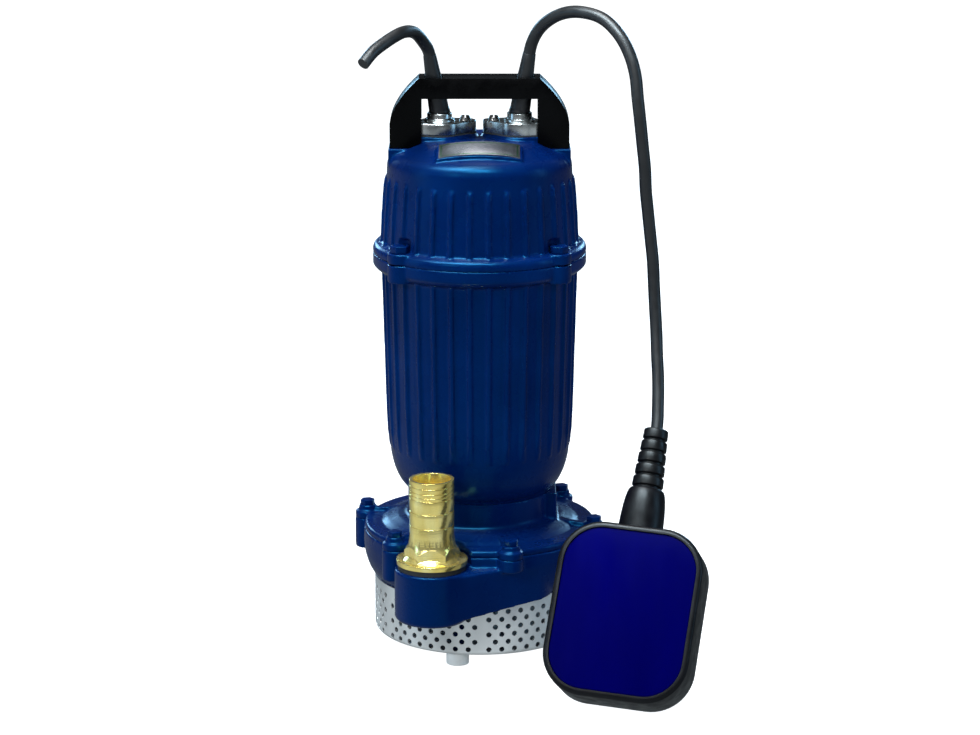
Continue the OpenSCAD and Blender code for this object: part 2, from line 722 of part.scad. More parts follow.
module motor_housing() {
  color(blue) ring(bearing_boss_r, lower_bearing_r, floor_top - 1, bearing_boss_top - floor_top + 1);
  color(blue) difference() {
    housing_solid();
    disc(oil_seal_r, floor_z - 1, 20);
    turned([[0, floor_top], [bowl_r + 6, floor_top], [stator_seat_r - 4, bowl_z - 8],
      [stator_seat_r - 4, stator_seat_z], [stator_seat_r, stator_seat_z], [stator_seat_r, bracket_z],
      [bracket_r, bracket_z], [bracket_r, joint_z + 1], [0, joint_z + 1]]);
    ring(o_ring_r + 1.4, o_ring_r - 1.4, joint_z - 2 * o_ring_w, 10);
    for (a = [lid_bolt_a, 180 - lid_bolt_a], s = [-1, 1])
      at_front(lid_bolt_circle_r + 1.2, s * a, flange_z) cylinder(r = m8_r - 1 + screw_gap, h = 30, $fn = small_fn);
    for (i = [0:3]) at_front(oil_chamber_r + 4.5, 45 + 90 * i, floor_z - 1)
      cylinder(r = 2 + screw_gap, h = 16, $fn = small_fn);
  }
}
module housing_screws() {
  color(steel) for (i = [0:3]) at_front(oil_chamber_r + 4.5, 45 + 90 * i, floor_top) {
    translate([0, 0, -18]) cylinder(r = 2, h = 18 + e, $fn = small_fn);
    cylinder(r = 3.5, h = 3, $fn = small_fn);
  }
}
module bearing_outer(r, z, w) {
  color(steel) ring(r - seat_gap, r - ring_race_t, z, w);
}
module lower_bearing_outer() {
  bearing_outer(lower_bearing_r, lower_bearing_z, lower_bearing_w);
}
module upper_bearing_outer() {
  bearing_outer(upper_bearing_r, upper_bearing_z, upper_bearing_w);
}
module stator_core() {
  color([0.45, 0.46, 0.48]) difference() {
    ring(stator_seat_r - seat_gap, rotor_r + air_gap, stator_seat_z, core_l + 4);
    for (i = [0:slot_count - 1]) rotate([0, 0, 360 * i / slot_count])
      translate([slot_in_r, -slot_w / 2, stator_seat_z - 1]) cube([slot_out_r - slot_in_r, slot_w, core_l + 6]);
  }
}
module stator_winding() {
  bar_w = slot_w - 0.6;
  color(copper) {
    ring(winding_r, winding_in_r, stator_seat_z + core_l + 4, winding_h);
    ring(winding_r, winding_in_r, stator_seat_z - winding_h, winding_h);
    for (i = [0:slot_count - 1]) rotate([0, 0, 360 * i / slot_count])
      translate([winding_in_r, -bar_w / 2, stator_seat_z - 1])
      cube([slot_out_r - winding_in_r - 0.3, bar_w, core_l + 6]);
  }
}
module bearing_bracket() {
  color([0.62, 0.63, 0.65]) difference() {
    union() {
      disc(bracket_r - seat_gap, bracket_z, bracket_t);
      disc(bracket_hub_r, bracket_hub_z, bracket_z - bracket_hub_z + 1);
    }
    disc(upper_bearing_r, bracket_hub_z - 1, upper_bearing_z + upper_bearing_w - bracket_hub_z + 1);
    disc(12, bracket_hub_z, 40);
    for (a = [60, 180, 300]) at_front(48, a, bracket_z - 1) cylinder(r = 8, h = bracket_t + 2, $fn = round_fn);
  }
}
module cover_o_ring() {
  color(black) rotate_extrude($fn = round_fn) translate([o_ring_r, joint_z - o_ring_w])
    circle(r = o_ring_w, $fn = small_fn);
}

// ---- Top cover ----
function gland_gap(outer) = outer > 0 ? gland_screw_gap : gland_inner_gap;
function gland_screw_at(side, outer) = [side * (gland_x + outer * gland_gap(outer) * cos(gland_turn)),
  gland_y - outer * gland_gap(outer) * sin(gland_turn)];
module gland_outline(side, grow) {
  middle = [side * gland_x, gland_y];
  translate(middle) circle(r = gland_mid_r + grow, $fn = round_fn);
  for (outer = [-1, 1]) {
    p = gland_screw_at(side, outer);
    end_r = outer > 0 ? gland_end_r : gland_inner_r;
    way = atan2(p[1] - middle[1], p[0] - middle[0]);
    swing = acos((gland_mid_r - end_r) / gland_gap(outer));
    translate(p) circle(r = end_r + grow, $fn = round_fn);
    polygon([for (s = [1, -1]) middle + (gland_mid_r + grow - 0.4) * [cos(way + s * swing), sin(way + s * swing)],
      for (s = [-1, 1]) p + (end_r + grow - 0.4) * [cos(way + s * swing), sin(way + s * swing)]]);
  }
}
module lid_rib(a) {
  wall = lid_wall_r;
  fin([[wall - 5, lid_flange_z - 2], [wall + rib_proud, lid_flange_z - 2], [wall + 1.4, lid_flange_z + 22],
    [wall - 0.2, lid_rib_top - 6], [wall - 1, lid_rib_top - 1.5], [wall - 2.9, lid_rib_top + 1.5],
    [wall - 5, lid_rib_top + 1.5]], rib_w, a);
}
module plate_barrel(w, l, t) {
  intersection() {
    translate([0, 0, -plate_bend_r]) rotate([90, 0, 0]) cylinder(r = plate_bend_r, h = l, center = true,
      $fn = round_fn);
    translate([-w / 2, -l / 2, -t]) cube([w, l, t + 1]);
  }
}
module at_plate() {
  translate([0, plate_y, plate_z]) rotate([plate_lean, 0, 0]) children();
}
module ear(side) {
  depth_half = ear_depth / 2;
  translate([side > 0 ? handle_hw + ear_out - ear_w : -handle_hw - ear_out, handle_y - depth_half,
    ear_top - ear_h]) cube([ear_w, ear_depth, ear_h]);
  translate([side > 0 ? handle_hw - handle_wall - tongue_gap - tongue_t : -handle_hw + handle_wall + tongue_gap,
    handle_y - 8, ear_top - 2]) cube([tongue_t, 16, tongue_h + 2]);
}
module lid_solid() {
  crown = lid_crown_z;
  turned(concat([[0, joint_z], [flange_r, joint_z]],
    arc([flange_r - 5, joint_z + lid_flange_t - 5], 5, 0, 90, 5),
    [[lid_wall_r + 0.6, lid_flange_z + 0.8], [lid_wall_r - 2.7, lid_shoulder_z - 12],
    [lid_wall_top_r, lid_shoulder_z]],
    ellipse_arc([lid_slope_r, lid_shoulder_z], lid_wall_top_r - lid_slope_r, lid_slope_z - lid_shoulder_z,
      15, 80, 5),
    [[lid_crown_r, crown - 1.5], [lid_crown_r - 11, crown - 0.4], [0, crown]]));
  for (i = [0:rib_count - 1]) lid_rib(360 * (i + 0.5) / rib_count);
  for (a = [lid_bolt_a, 180 - lid_bolt_a], s = [-1, 1])
    at_front(lid_bolt_circle_r, s * a, joint_z + lug_part)
    cylinder(r = lid_lug_d / 2, h = lid_flange_t + 0.5 - lug_part, $fn = round_fn);
  for (side = [-1, 1]) {
    translate([0, 0, crown - 8]) linear_extrude(pad_z - crown + 8) gland_outline(side, pad_margin);
    ear(side);
  }
  at_plate() plate_barrel(plate_w + 4, plate_l + 2, 8);
}
module top_cover() {
  color(blue) difference() {
    lid_solid();
    turned([[0, joint_z - 1], [lid_cavity_r, joint_z - 1], [lid_cavity_r, lid_shoulder_z - 10],
      [lid_slope_r - 7, lid_slope_z - 8], [lid_crown_r - 10, lid_crown_z - 11], [0, lid_crown_z - 11]]);
    for (side = [-1, 1]) {
      translate([side * gland_x, gland_y, lid_crown_z - 20])
        cylinder(r = sleeve_barrel_r + screw_gap, h = 40, $fn = round_fn);
      for (outer = [-1, 1]) translate([gland_screw_at(side, outer)[0], gland_screw_at(side, outer)[1],
        pad_z - 8.5]) cylinder(r = gland_screw_r + screw_gap, h = 20, $fn = small_fn);
      translate([side * (handle_hw - handle_wall - tongue_t / 2), handle_y, handle_screw_z])
        rotate([0, 90, 0]) cylinder(r = handle_screw_r + screw_gap, h = 2 * tongue_t + 6, center = true,
          $fn = small_fn);
      translate([0, 0, pad_z]) linear_extrude(gland_gasket_t + gland_t + gland_head_h + gland_clear)
        gland_outline(side, gland_clear);
    }
    for (a = [lid_bolt_a, 180 - lid_bolt_a], s = [-1, 1])
      at_front(lid_bolt_circle_r + 1.2, s * a, joint_z - 1) {
        cylinder(r = m8_r - 1 + screw_gap, h = 30, $fn = small_fn);
        translate([0, 0, lid_flange_t + 1.5]) cylinder(r = bolt_pocket_r, h = bolt_pocket_h, $fn = round_fn);
      }
  }
}
module cover_bolts() {
  z = joint_z + lid_flange_t + 0.5;
  color(blue) for (a = [lid_bolt_a, 180 - lid_bolt_a], s = [-1, 1])
    at_front(lid_bolt_circle_r + 1.2, s * a) {
      translate([0, 0, z - 18]) cylinder(r = m8_r - 1, h = 18 + e, $fn = small_fn);
      hex(m8_af, z, m8_head_h);
    }
}
module capacitor() {
  color([0.85, 0.85, 0.82]) translate([0, capacitor_y, joint_z]) {
    cylinder(r = capacitor_r, h = capacitor_h, $fn = round_fn);
    for (x = [-1, 1]) translate([x * capacitor_pin_x, 0, capacitor_h - e])
      cylinder(r = capacitor_pin_r, h = capacitor_pin_h, $fn = small_fn);
  }
}
module capacitor_clip() {
  color(steel) translate([0, capacitor_y, 0])
    ring(capacitor_r + clip_t, capacitor_r + seat_gap, joint_z, clip_h);
}
module terminal_block() {
  color([0.2, 0.2, 0.22]) difference() {
    translate([-terminal_w / 2, gland_y - terminal_l / 2, joint_z]) cube([terminal_w, terminal_l, terminal_h]);
    for (side = [-1, 1]) translate([side * gland_x, gland_y, joint_z + lead_depth])
      cylinder(r = lead_r + screw_gap, h = terminal_h, $fn = small_fn);
  }
}
module inner_leads() {
  color(black) for (side = [-1, 1]) translate([side * gland_x, gland_y, joint_z + lead_depth])
    cylinder(r = lead_r, h = sleeve_bottom_z - joint_z - lead_depth, $fn = small_fn);
}

// ---- Cable glands ----
module gland_sheet(side, z, h, hole_r) {
  difference() {
    translate([0, 0, z]) linear_extrude(h) gland_outline(side, 0);
    translate([side * gland_x, gland_y, z - 1]) cylinder(r = hole_r, h = h + 2, $fn = round_fn);
    for (outer = [-1, 1]) translate([gland_screw_at(side, outer)[0], gland_screw_at(side, outer)[1], z - 1])
      cylinder(r = gland_screw_r + screw_gap, h = h + 2, $fn = small_fn);
  }
}
module gland_gaskets() {
  color(black) for (side = [-1, 1]) gland_sheet(side, pad_z, gland_gasket_t, sleeve_barrel_r + screw_gap);
}
module gland_plate(side) {
  color(steel) {
    gland_sheet(side, gland_z, gland_t, sleeve_barrel_r + screw_gap);
    translate([side * gland_x, gland_y, 0]) {
      ring(gland_collar_r, sleeve_barrel_r + screw_gap, gland_top - 1, gland_collar_h + 1);
      ring(gland_collar_r + 2, gland_collar_r - 0.5, gland_top - 1, 3);
    }
  }
}
module gland_plate_left() {
  gland_plate(-1);
}
module gland_plate_right() {
  gland_plate(1);
}
module gland_screws() {
  color(steel) for (side = [-1, 1], outer = [-1, 1]) {
    p = gland_screw_at(side, outer);
    translate([p[0], p[1], gland_top]) difference() {
      union() {
        translate([0, 0, -gland_screw_l]) cylinder(r = gland_screw_r, h = gland_screw_l + e, $fn = small_fn);
        cylinder(r1 = gland_head_r, r2 = gland_head_r - 1.4, h = gland_head_h, $fn = small_fn);
      }
      translate([0, 0, gland_head_h - 1]) cube([1, 12, 3], center = true);
    }
  }
}
module cable_sleeve(side) {
  color(black) translate([side * gland_x, gland_y, 0]) {
    translate([0, 0, sleeve_bottom_z]) cylinder(r = sleeve_barrel_r,
      h = collar_top - sleeve_bottom_z + 1, $fn = round_fn);
    translate([0, 0, collar_top]) cylinder(r1 = sleeve_flare_r, r2 = sleeve_flare_top_r,
      h = sleeve_flare_h, $fn = round_fn);
    translate([0, 0, collar_top]) rotate([sleeve_nod(side), side * sleeve_lean, 0])
      translate([0, 0, sleeve_cone_start])
      cylinder(r1 = sleeve_root_r, r2 = sleeve_tip_r, h = sleeve_l - sleeve_cone_start, $fn = round_fn);
  }
}
module cable_sleeve_left() {
  cable_sleeve(-1);
}
module cable_sleeve_right() {
  cable_sleeve(1);
}
function sleeve_nod(side) = side < 0 ? sleeve_nods[0] : sleeve_nods[1];
function sleeve_way(side) = [side * sin(sleeve_lean) * cos(sleeve_nod(side)), -sin(sleeve_nod(side)),
  cos(sleeve_lean) * cos(sleeve_nod(side))];
function sleeve_at(side, reach) = [side * gland_x, gland_y, collar_top] + reach * sleeve_way(side);
module mains_cable() {
  points = concat([sleeve_at(-1, sleeve_l)], mains_route);
  last = len(points) - 1;
  color(black) swept_tube(points, [for (p = points) cable_d / 2], mains_route_normal, sleeve_way(-1),
    points[last] - points[last - 1]);
}
module float_cable() {
  hang = float_way([0, 0, -1]);
  domes = [[0, 1], [0.34, 0.94], [0.68, 0.73], [0.9, 0.44]];
  points = concat([sleeve_at(1, sleeve_l)], float_route, [for (d = domes) swivel + d[0] * cable_d / 2 * hang]);
  radii = concat([for (i = [0:len(float_route)]) cable_d / 2], [for (d = domes) d[1] * cable_d / 2]);
  color(black) swept_tube(points, radii, float_route_normal, sleeve_way(1), hang);
}

// ---- Handle and nameplate ----
// One half of the handle's outer line, drawn in by an inset
function handle_side(inset) = concat([[handle_hw - inset, ear_top]],
  bezier([handle_hw - inset, ear_top + handle_bend_z],
    [handle_hw - inset - handle_bend_x, handle_top - inset - handle_bend_drop],
    [grip_flat_w / 2 - inset / 2, handle_top - inset], handle_steps));
function mirrored(points) = [for (i = [len(points) - 1:-1:0]) [-points[i][0], points[i][1]]];
module handle_profile(inset) {
  polygon(concat(handle_side(inset), mirrored(handle_side(inset))));
}
module handle() {
  inner_top = handle_top - grip_h;
  web_reach = handle_top - handle_wall / 2 - collar_top;
  color(black) difference() {
    translate([0, handle_y + handle_depth / 2, 0]) rotate([90, 0, 0]) linear_extrude(handle_depth)
      handle_profile(0);
    translate([0, handle_y + handle_depth / 2 - handle_wall, 0]) rotate([90, 0, 0])
      linear_extrude(handle_depth - 2 * handle_wall) handle_profile(handle_wall);
    translate([-leg_inner_x, handle_y - handle_depth, ear_top - 1])
      cube([2 * leg_inner_x, 2 * handle_depth, inner_top - ear_top + 1]);
    turned([[0, ear_top - 5], [lid_slope_r + 6, ear_top - 5], [lid_crown_r + 1, lid_crown_z - 1],
      [lid_crown_r - 5, lid_crown_z + 0.5], [0, lid_crown_z + 0.5]]);
    for (side = [-1, 1]) {
      translate([sleeve_at(side, web_reach)[0], sleeve_at(side, web_reach)[1], handle_top - 8])
        cylinder(r = sleeve_hole_r, h = 20, $fn = round_fn);
      translate([side * (leg_inner_x + 2.5) - 3.5, handle_y + handle_depth / 2 - handle_wall - 1, ear_top - 1])
        cube([7, handle_wall + 2, gland_top - ear_top + 1.6]);
      translate([side * (leg_inner_x + 5) - 6, handle_y - handle_depth / 2 + handle_wall - 1, ear_top - 1])
        cube([12, 2, gland_top - ear_top + 1.6]);
      translate([side * (handle_hw - 10), handle_y, handle_screw_z]) rotate([0, side * 90, 0])
        cylinder(r = handle_screw_r + screw_gap, h = 20, $fn = small_fn);
      translate([side * handle_hw, handle_y, handle_screw_z]) rotate([0, -side * 90, 0])
        cylinder(r1 = handle_head_r + 0.1, r2 = handle_screw_r, h = 2.4, $fn = small_fn);
    }
  }
}
module handle_screws() {
  color(steel) for (side = [-1, 1]) {
    translate([side * handle_hw, handle_y, handle_screw_z]) rotate([0, -side * 90, 0]) difference() {
      union() {
        cylinder(r1 = handle_head_r, r2 = handle_screw_r - 0.1, h = 2.3, $fn = small_fn);
        cylinder(r = handle_screw_r, h = handle_wall + tongue_t, $fn = small_fn);
      }
      translate([0, 0, 0.2]) cube([1, 12, 1.6], center = true);
    }
  }
}
module nameplate() {
  color([0.25, 0.25, 0.28]) at_plate() translate([0, 0, seat_gap]) difference() {
    translate([0, 0, plate_t]) plate_barrel(plate_w, plate_l, 8);
    plate_barrel(plate_w + 10, plate_l + 10, 20);
  }
}

// ---- Rotor ----
module shaft() {
  keyway_z = hub_z + 4;
  color(steel) difference() {
    turned([[0, shaft_low_z], [impeller_seat_r, shaft_low_z], [impeller_seat_r, impeller_back_z + 3],
      [seal_shaft_r, impeller_back_z + 3], [seal_shaft_r, floor_top], [shaft_r, floor_top],
      [shaft_r, bearing_boss_top], [12, bearing_boss_top], [12, bearing_boss_top + 10],
      [rotor_seat_r, bearing_boss_top + 12], [rotor_seat_r, upper_bearing_z - 10],
      [12, upper_bearing_z - 8], [12, upper_bearing_z], [shaft_r, upper_bearing_z],
      [shaft_r, upper_bearing_z + upper_bearing_w + 1], [0, upper_bearing_z + upper_bearing_w + 1]]);
    translate([-key_w / 2, -impeller_seat_r - 1, keyway_z]) cube([key_w, 1 + key_h, 10]);
  }
}
module rotor_core() {
  color([0.5, 0.51, 0.53]) {
    ring(rotor_r, rotor_seat_r + seat_gap, core_z, core_l);
    ring(rotor_r - 2, rotor_seat_r + 6, core_z + core_l - e, 8);
    ring(rotor_r - 2, rotor_seat_r + 6, core_z - 8, 8 + e);
  }
}
function race_r(r) = r - ring_race_t;
module bearing_inner(z, w) {
  color(steel) ring(shaft_r + ring_race_t, shaft_r + seat_gap, z, w);
}
module lower_bearing_inner() {
  bearing_inner(lower_bearing_z, lower_bearing_w);
}
module upper_bearing_inner() {
  bearing_inner(upper_bearing_z, upper_bearing_w);
}
module ball_set(r, z, w) {
  gap = race_r(r) - shaft_r - ring_race_t;
  for (i = [0:ball_count - 1]) at_front(shaft_r + ring_race_t + gap / 2, 360 * i / ball_count, z + w / 2)
    sphere(r = gap / 2 - race_gap, $fn = small_fn);
}
module bearing_balls() {
  color(steel) {
    ball_set(lower_bearing_r, lower_bearing_z, lower_bearing_w);
    ball_set(upper_bearing_r, upper_bearing_z, upper_bearing_w);
  }
}
module seal_head() {
  color([0.35, 0.35, 0.38]) {
    ring(12.5, seal_shaft_r + seat_gap, cover_plate_top + 0.1, 9);
    ring(11, seal_shaft_r + seat_gap, cover_plate_top + 9, 8);
  }
}
module vane(a) {
  rotate([0, 0, a]) intersection() {
    translate([0, -26, impeller_z]) difference() {
      cylinder(r = 30, h = impeller_back_z - impeller_z + e, $fn = round_fn);
      translate([0, 0, -1]) cylinder(r = 26.5, h = 40, $fn = round_fn);
      translate([-40, -80, -1]) cube([40, 160, 60]);
      translate([-1, -80, -1]) cube([80, 80, 60]);
    }
    disc(impeller_r, impeller_z - 1, 40);
  }
}
module impeller() {
  color([0.55, 0.56, 0.58]) difference() {
    union() {
      disc(impeller_r, impeller_back_z, impeller_back_t);
      disc(hub_r, hub_z, impeller_back_z + impeller_back_t - hub_z);
      for (i = [0:vane_count - 1]) rotate([0, 0, 360 * i / vane_count])
        translate([hub_r - 1, 0, 0]) vane(0);
    }
    disc(impeller_seat_r + seat_gap, impeller_z - 10, 60);
    translate([-key_w / 2 - seat_gap, -impeller_seat_r - key_h, hub_z - 1])
      cube([key_w + 2 * seat_gap, key_h + 2, 60]);
  }
}
module impeller_key() {
  color(steel) translate([-key_w / 2 + seat_gap, -impeller_seat_r - key_h + 0.2, hub_z + 4 + seat_gap])
    cube([key_w - 2 * seat_gap, 2 * key_h - 0.4, 10 - 2 * seat_gap]);
}
module impeller_nut() {
  color(steel) difference() {
    hex(nut_af, nut_z, nut_h);
    disc(impeller_seat_r + seat_gap, nut_z - 1, nut_h + 2);
  }
}

// ---- Float ----
function turn_x(v, a) = [v[0], v[1] * cos(a) - v[2] * sin(a), v[1] * sin(a) + v[2] * cos(a)];
function turn_y(v, a) = [v[0] * cos(a) + v[2] * sin(a), v[1], -v[0] * sin(a) + v[2] * cos(a)];
function turn_z(v, a) = [v[0] * cos(a) - v[1] * sin(a), v[0] * sin(a) + v[1] * cos(a), v[2]];
function float_way(v) = turn_z(turn_y(turn_x(v, float_turn[0]), float_turn[1]), float_turn[2]);
module at_swivel() {
  translate(swivel) rotate(float_turn) children();
}
// A rounded slab that stands in the float's own plane, from depth y0 towards the rear
module float_slab(w, l, r, y0, t) {
  translate([0, y0 + t, cone_bottom - float_l / 2]) rotate([90, 0, 0]) round_slab(w, l, r, t);
}
module float_body() {
  rim = float_rim_t;
  ledge = 3;
  color(black) at_swivel() difference() {
    float_slab(float_w, float_l, float_corner_r, -float_t / 2, float_t);
    float_slab(float_w - 2 * rim, float_l - 2 * rim, float_corner_r - rim, -float_t / 2 - 1,
      face_t + face_sink + 1);
    float_slab(float_w - 2 * rim, float_l - 2 * rim, float_corner_r - rim,
      float_t / 2 - face_t - face_sink, face_t + face_sink + 1);
    float_slab(float_w - 2 * rim - 2 * ledge, float_l - 2 * rim - 2 * ledge, float_corner_r - rim - ledge,
      -float_t / 2, float_t);
  }
}
module float_face(y0) {
  rim = float_rim_t + face_gap;
  color(float_blue) at_swivel() float_slab(float_w - 2 * rim, float_l - 2 * rim, float_corner_r - rim,
    y0, face_t);
}
module float_face_front() {
  float_face(-float_t / 2 + face_sink);
}
module float_face_rear() {
  float_face(float_t / 2 - face_sink - face_t);
}
module float_cone() {
  color(black) at_swivel() turned([[0, cone_bottom], [cone_low_r, cone_bottom],
    [cone_low_r - 0.3, boot_bottom - 15], [cone_low_r - 1.4, boot_bottom - 8], [cone_top_r, boot_bottom - 3],
    [cone_top_r - 1, boot_bottom - 1], [cone_top_r - 2.6, boot_bottom], [0, boot_bottom]]);
}
// Ribs k = 0 is the top one; the boot grows from its top to its foot
function boot_r(t) = boot_top_r + (boot_low_r - boot_top_r) * t;
function boot_rib_points(k) = let (pitch = boot_l / boot_ribs, z = boot_top - k * pitch,
  low = z - pitch * boot_rib_share, r = boot_r(k / (boot_ribs - 1)))
  [[r - 1, z], [r, z - 1.2], [r + 0.3, low + 0.6], [r - 0.4, low], [r - boot_groove, low - 0.1],
  [r - boot_groove, z - pitch + 0.1]];
module float_boot() {
  core_end = boot_low_r - boot_groove;
  ribs = [for (k = [0:boot_ribs - 1], p = boot_rib_points(k)) p];
  color(black) at_swivel() turned(concat([[0, boot_top]], ribs, [[core_end, boot_bottom], [0, boot_bottom]]));
}
module float_frame() {
  color([0.15, 0.15, 0.16]) at_swivel() difference() {
    union() {
      translate([0, 0, tube_low_z]) cylinder(r = tube_in_r + tube_t, h = tube_l, $fn = round_fn);
      for (z = [tube_low_z + 2, switch_z - 6]) translate([-float_w / 2 + float_rim_t + 3, -6, z])
        cube([float_w - 2 * float_rim_t - 6, 12, frame_t]);
    }
    translate([0, 0, tube_low_z + 2]) cylinder(r = tube_in_r, h = tube_l - 4, $fn = round_fn);
    translate([0, 0, switch_z - 4]) cylinder(r = plunger_r + run_gap, h = 20, $fn = small_fn);
  }
}
module microswitch() {
  color([0.1, 0.1, 0.11]) at_swivel() difference() {
    translate([-11, -6, switch_z]) cube([22, 12, 14]);
    translate([0, 0, switch_z - 1]) cylinder(r = plunger_r + run_gap, h = plunger_hole + 1, $fn = small_fn);
  }
}
module float_wires() {
  color([0.45, 0.2, 0.1]) at_swivel() for (x = [-5, 5]) translate([x, 0, switch_z + 14])
    cylinder(r = 1.25, h = cone_bottom - float_rim_t - 3 - switch_z - 14, $fn = small_fn);
}
module float_ball() {
  color(steel) at_swivel() translate([0, 0, tube_low_z + 2 + run_gap + ball_r]) sphere(r = ball_r, $fn = round_fn);
}
module switch_plunger() {
  color(white) at_swivel() translate([0, 0, switch_z - 2 - plunger_out])
    cylinder(r = plunger_r, h = plunger_out + 2 + 5, $fn = small_fn);
}

feet();
foot_screws();
strainer();
wear_ring();
pump_casing();
casing_gasket();
casing_cover();
casing_bolts();
outlet_gasket();
hose_tail();
oil_plug();
seal_seat();
oil_seal();
lower_bearing_outer();
upper_bearing_outer();
motor_housing();
housing_screws();
stator_core();
stator_winding();
bearing_bracket();
cover_o_ring();
top_cover();
cover_bolts();
capacitor();
capacitor_clip();
terminal_block();
inner_leads();
gland_gaskets();
gland_plate_left();
gland_plate_right();
gland_screws();
cable_sleeve_left();
cable_sleeve_right();
handle();
handle_screws();
nameplate();
mains_cable();
float_cable();
shaft();
rotor_core();
lower_bearing_inner();
upper_bearing_inner();
bearing_balls();
seal_head();
impeller();
impeller_key();
impeller_nut();
float_body();
float_face_front();
float_face_rear();
float_cone();
float_boot();
float_frame();
microswitch();
float_wires();
float_ball();
switch_plunger();
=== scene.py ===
"""A submersible sump pump with a float switch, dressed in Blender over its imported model."""

import math

import bpy
from mathutils import Euler, Matrix, Vector


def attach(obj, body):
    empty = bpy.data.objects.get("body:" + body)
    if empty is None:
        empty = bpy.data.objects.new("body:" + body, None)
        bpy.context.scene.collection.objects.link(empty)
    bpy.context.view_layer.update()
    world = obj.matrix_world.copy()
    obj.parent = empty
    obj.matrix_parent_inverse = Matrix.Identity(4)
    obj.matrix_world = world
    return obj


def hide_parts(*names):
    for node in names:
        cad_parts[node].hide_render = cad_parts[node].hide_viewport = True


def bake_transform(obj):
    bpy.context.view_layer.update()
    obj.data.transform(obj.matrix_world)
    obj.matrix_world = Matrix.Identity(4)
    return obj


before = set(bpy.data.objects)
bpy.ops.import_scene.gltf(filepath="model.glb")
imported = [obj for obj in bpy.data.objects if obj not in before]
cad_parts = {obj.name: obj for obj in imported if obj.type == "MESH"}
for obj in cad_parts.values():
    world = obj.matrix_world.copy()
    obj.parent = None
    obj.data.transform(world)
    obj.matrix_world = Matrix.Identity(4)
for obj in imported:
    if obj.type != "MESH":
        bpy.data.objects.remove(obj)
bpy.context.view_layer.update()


def fill_ramp(ramp, stops):
    """Gives a colour ramp node one step for each (place, colour)."""
    steps = ramp.color_ramp.elements
    while len(steps) < len(stops):
        steps.new(0.5)
    for step, (place, colour) in zip(steps, stops):
        step.position = place
        step.color = (*colour, 1)


# ---------------------------------------------------------------- camera, floor and light

CAMERA_PLACE = (0.00799, -2.50, 0.8366)
CAMERA_PITCH = math.radians(76.1)
LENS_MM = 121.92
SENSOR_MM = 36
CLIP_END = 60

WORLD_TINT = (0.82, 0.94, 1.0)
KEY_SIDE = (-0.55, -0.83, 0)
# (place from straight down to straight up, light)
LIGHT_BY_HEIGHT = [
    (0.0, 0.7), (0.38, 0.85), (0.45, 0.60), (0.50, 0.16), (0.62, 0.16), (0.85, 0.45), (1.0, 0.8),
]
# (place from the side away from the key to the key's side, light)
LIGHT_BY_SIDE = [
    (0.0, 0.12), (0.10, 0.42), (0.25, 0.36), (0.42, 0.45), (0.70, 1.1), (0.9, 1.0),
]

WHITE = (1, 1, 1)
SKY = (0.36, 0.70, 1.0)
PALE_SKY = (0.75, 0.92, 1.0)
LAMP_AIM = Vector((0, 0, 0.25))
# name: place, size, watts, colour, whether it lights matt surfaces too
SOFTBOXES = {
    "overhead_box": ((-0.2, -0.2, 1.8), (0.35, 0.8), 28, WHITE, True),
    "dome_glint_box": ((-0.35, -0.62, 1.75), (1.5, 0.5), 130, PALE_SKY, False),
    "plate_box": ((0, 0.9, 1.8), (0.35, 0.5), 1.5, WHITE, True),
    "back_left_box": ((-1.0, 2.0, 0.85), (0.7, 0.45), 17, SKY, True),
    "back_right_box": ((1.0, 2.0, 0.8), (0.7, 0.45), 17, SKY, True),
    "left_strip": ((-1.9, -0.5, 0.7), (0.35, 1.2), 6, SKY, True),
    "right_strip": ((1.9, -0.4, 0.8), (0.5, 1.2), 11, SKY, True),
    "key_box": ((-1.2, -1.9, 1.4), (0.5, 0.45), 12, WHITE, True),
    "front_box": ((0.2, -3.0, 1.6), (1.5, 1.2), 6, WHITE, True),
}


def set_camera():
    bpy.ops.object.camera_add(location=CAMERA_PLACE, rotation=(CAMERA_PITCH, 0, 0))
    camera = bpy.context.object
    camera.name = "studio_camera"
    camera.data.lens = LENS_MM
    camera.data.sensor_width = SENSOR_MM
    camera.data.clip_end = CLIP_END
    bpy.context.scene.camera = camera


def set_world():
    """A dim studio: light comes from below and from the key's side, and the far end is dark."""
    world = bpy.data.worlds.new("studio_world")
    bpy.context.scene.world = world
    world.use_nodes = True
    nodes, links = world.node_tree.nodes, world.node_tree.links
    where = nodes.new("ShaderNodeTexCoord")
    split = nodes.new("ShaderNodeSeparateXYZ")
    links.new(where.outputs["Generated"], split.inputs["Vector"])

    def band(value, stops, tint=WHITE):
        spread = nodes.new("ShaderNodeMapRange")
        links.new(value, spread.inputs["Value"])
        spread.inputs["From Min"].default_value = -1
        spread.inputs["From Max"].default_value = 1
        bands = nodes.new("ShaderNodeValToRGB")
        links.new(spread.outputs["Result"], bands.inputs["Fac"])
        fill_ramp(bands, [(place, [light * part for part in tint]) for place, light in stops])
        return bands.outputs["Color"]

    towards_key = nodes.new("ShaderNodeVectorMath")
    towards_key.operation = "DOT_PRODUCT"
    links.new(where.outputs["Generated"], towards_key.inputs[0])
    towards_key.inputs[1].default_value = KEY_SIDE
    background = nodes["Background"]
    by_height = band(split.outputs["Z"], LIGHT_BY_HEIGHT, WORLD_TINT)
    links.new(by_height, background.inputs["Color"])
    by_side = band(towards_key.outputs["Value"], LIGHT_BY_SIDE)
    links.new(by_side, background.inputs["Strength"])


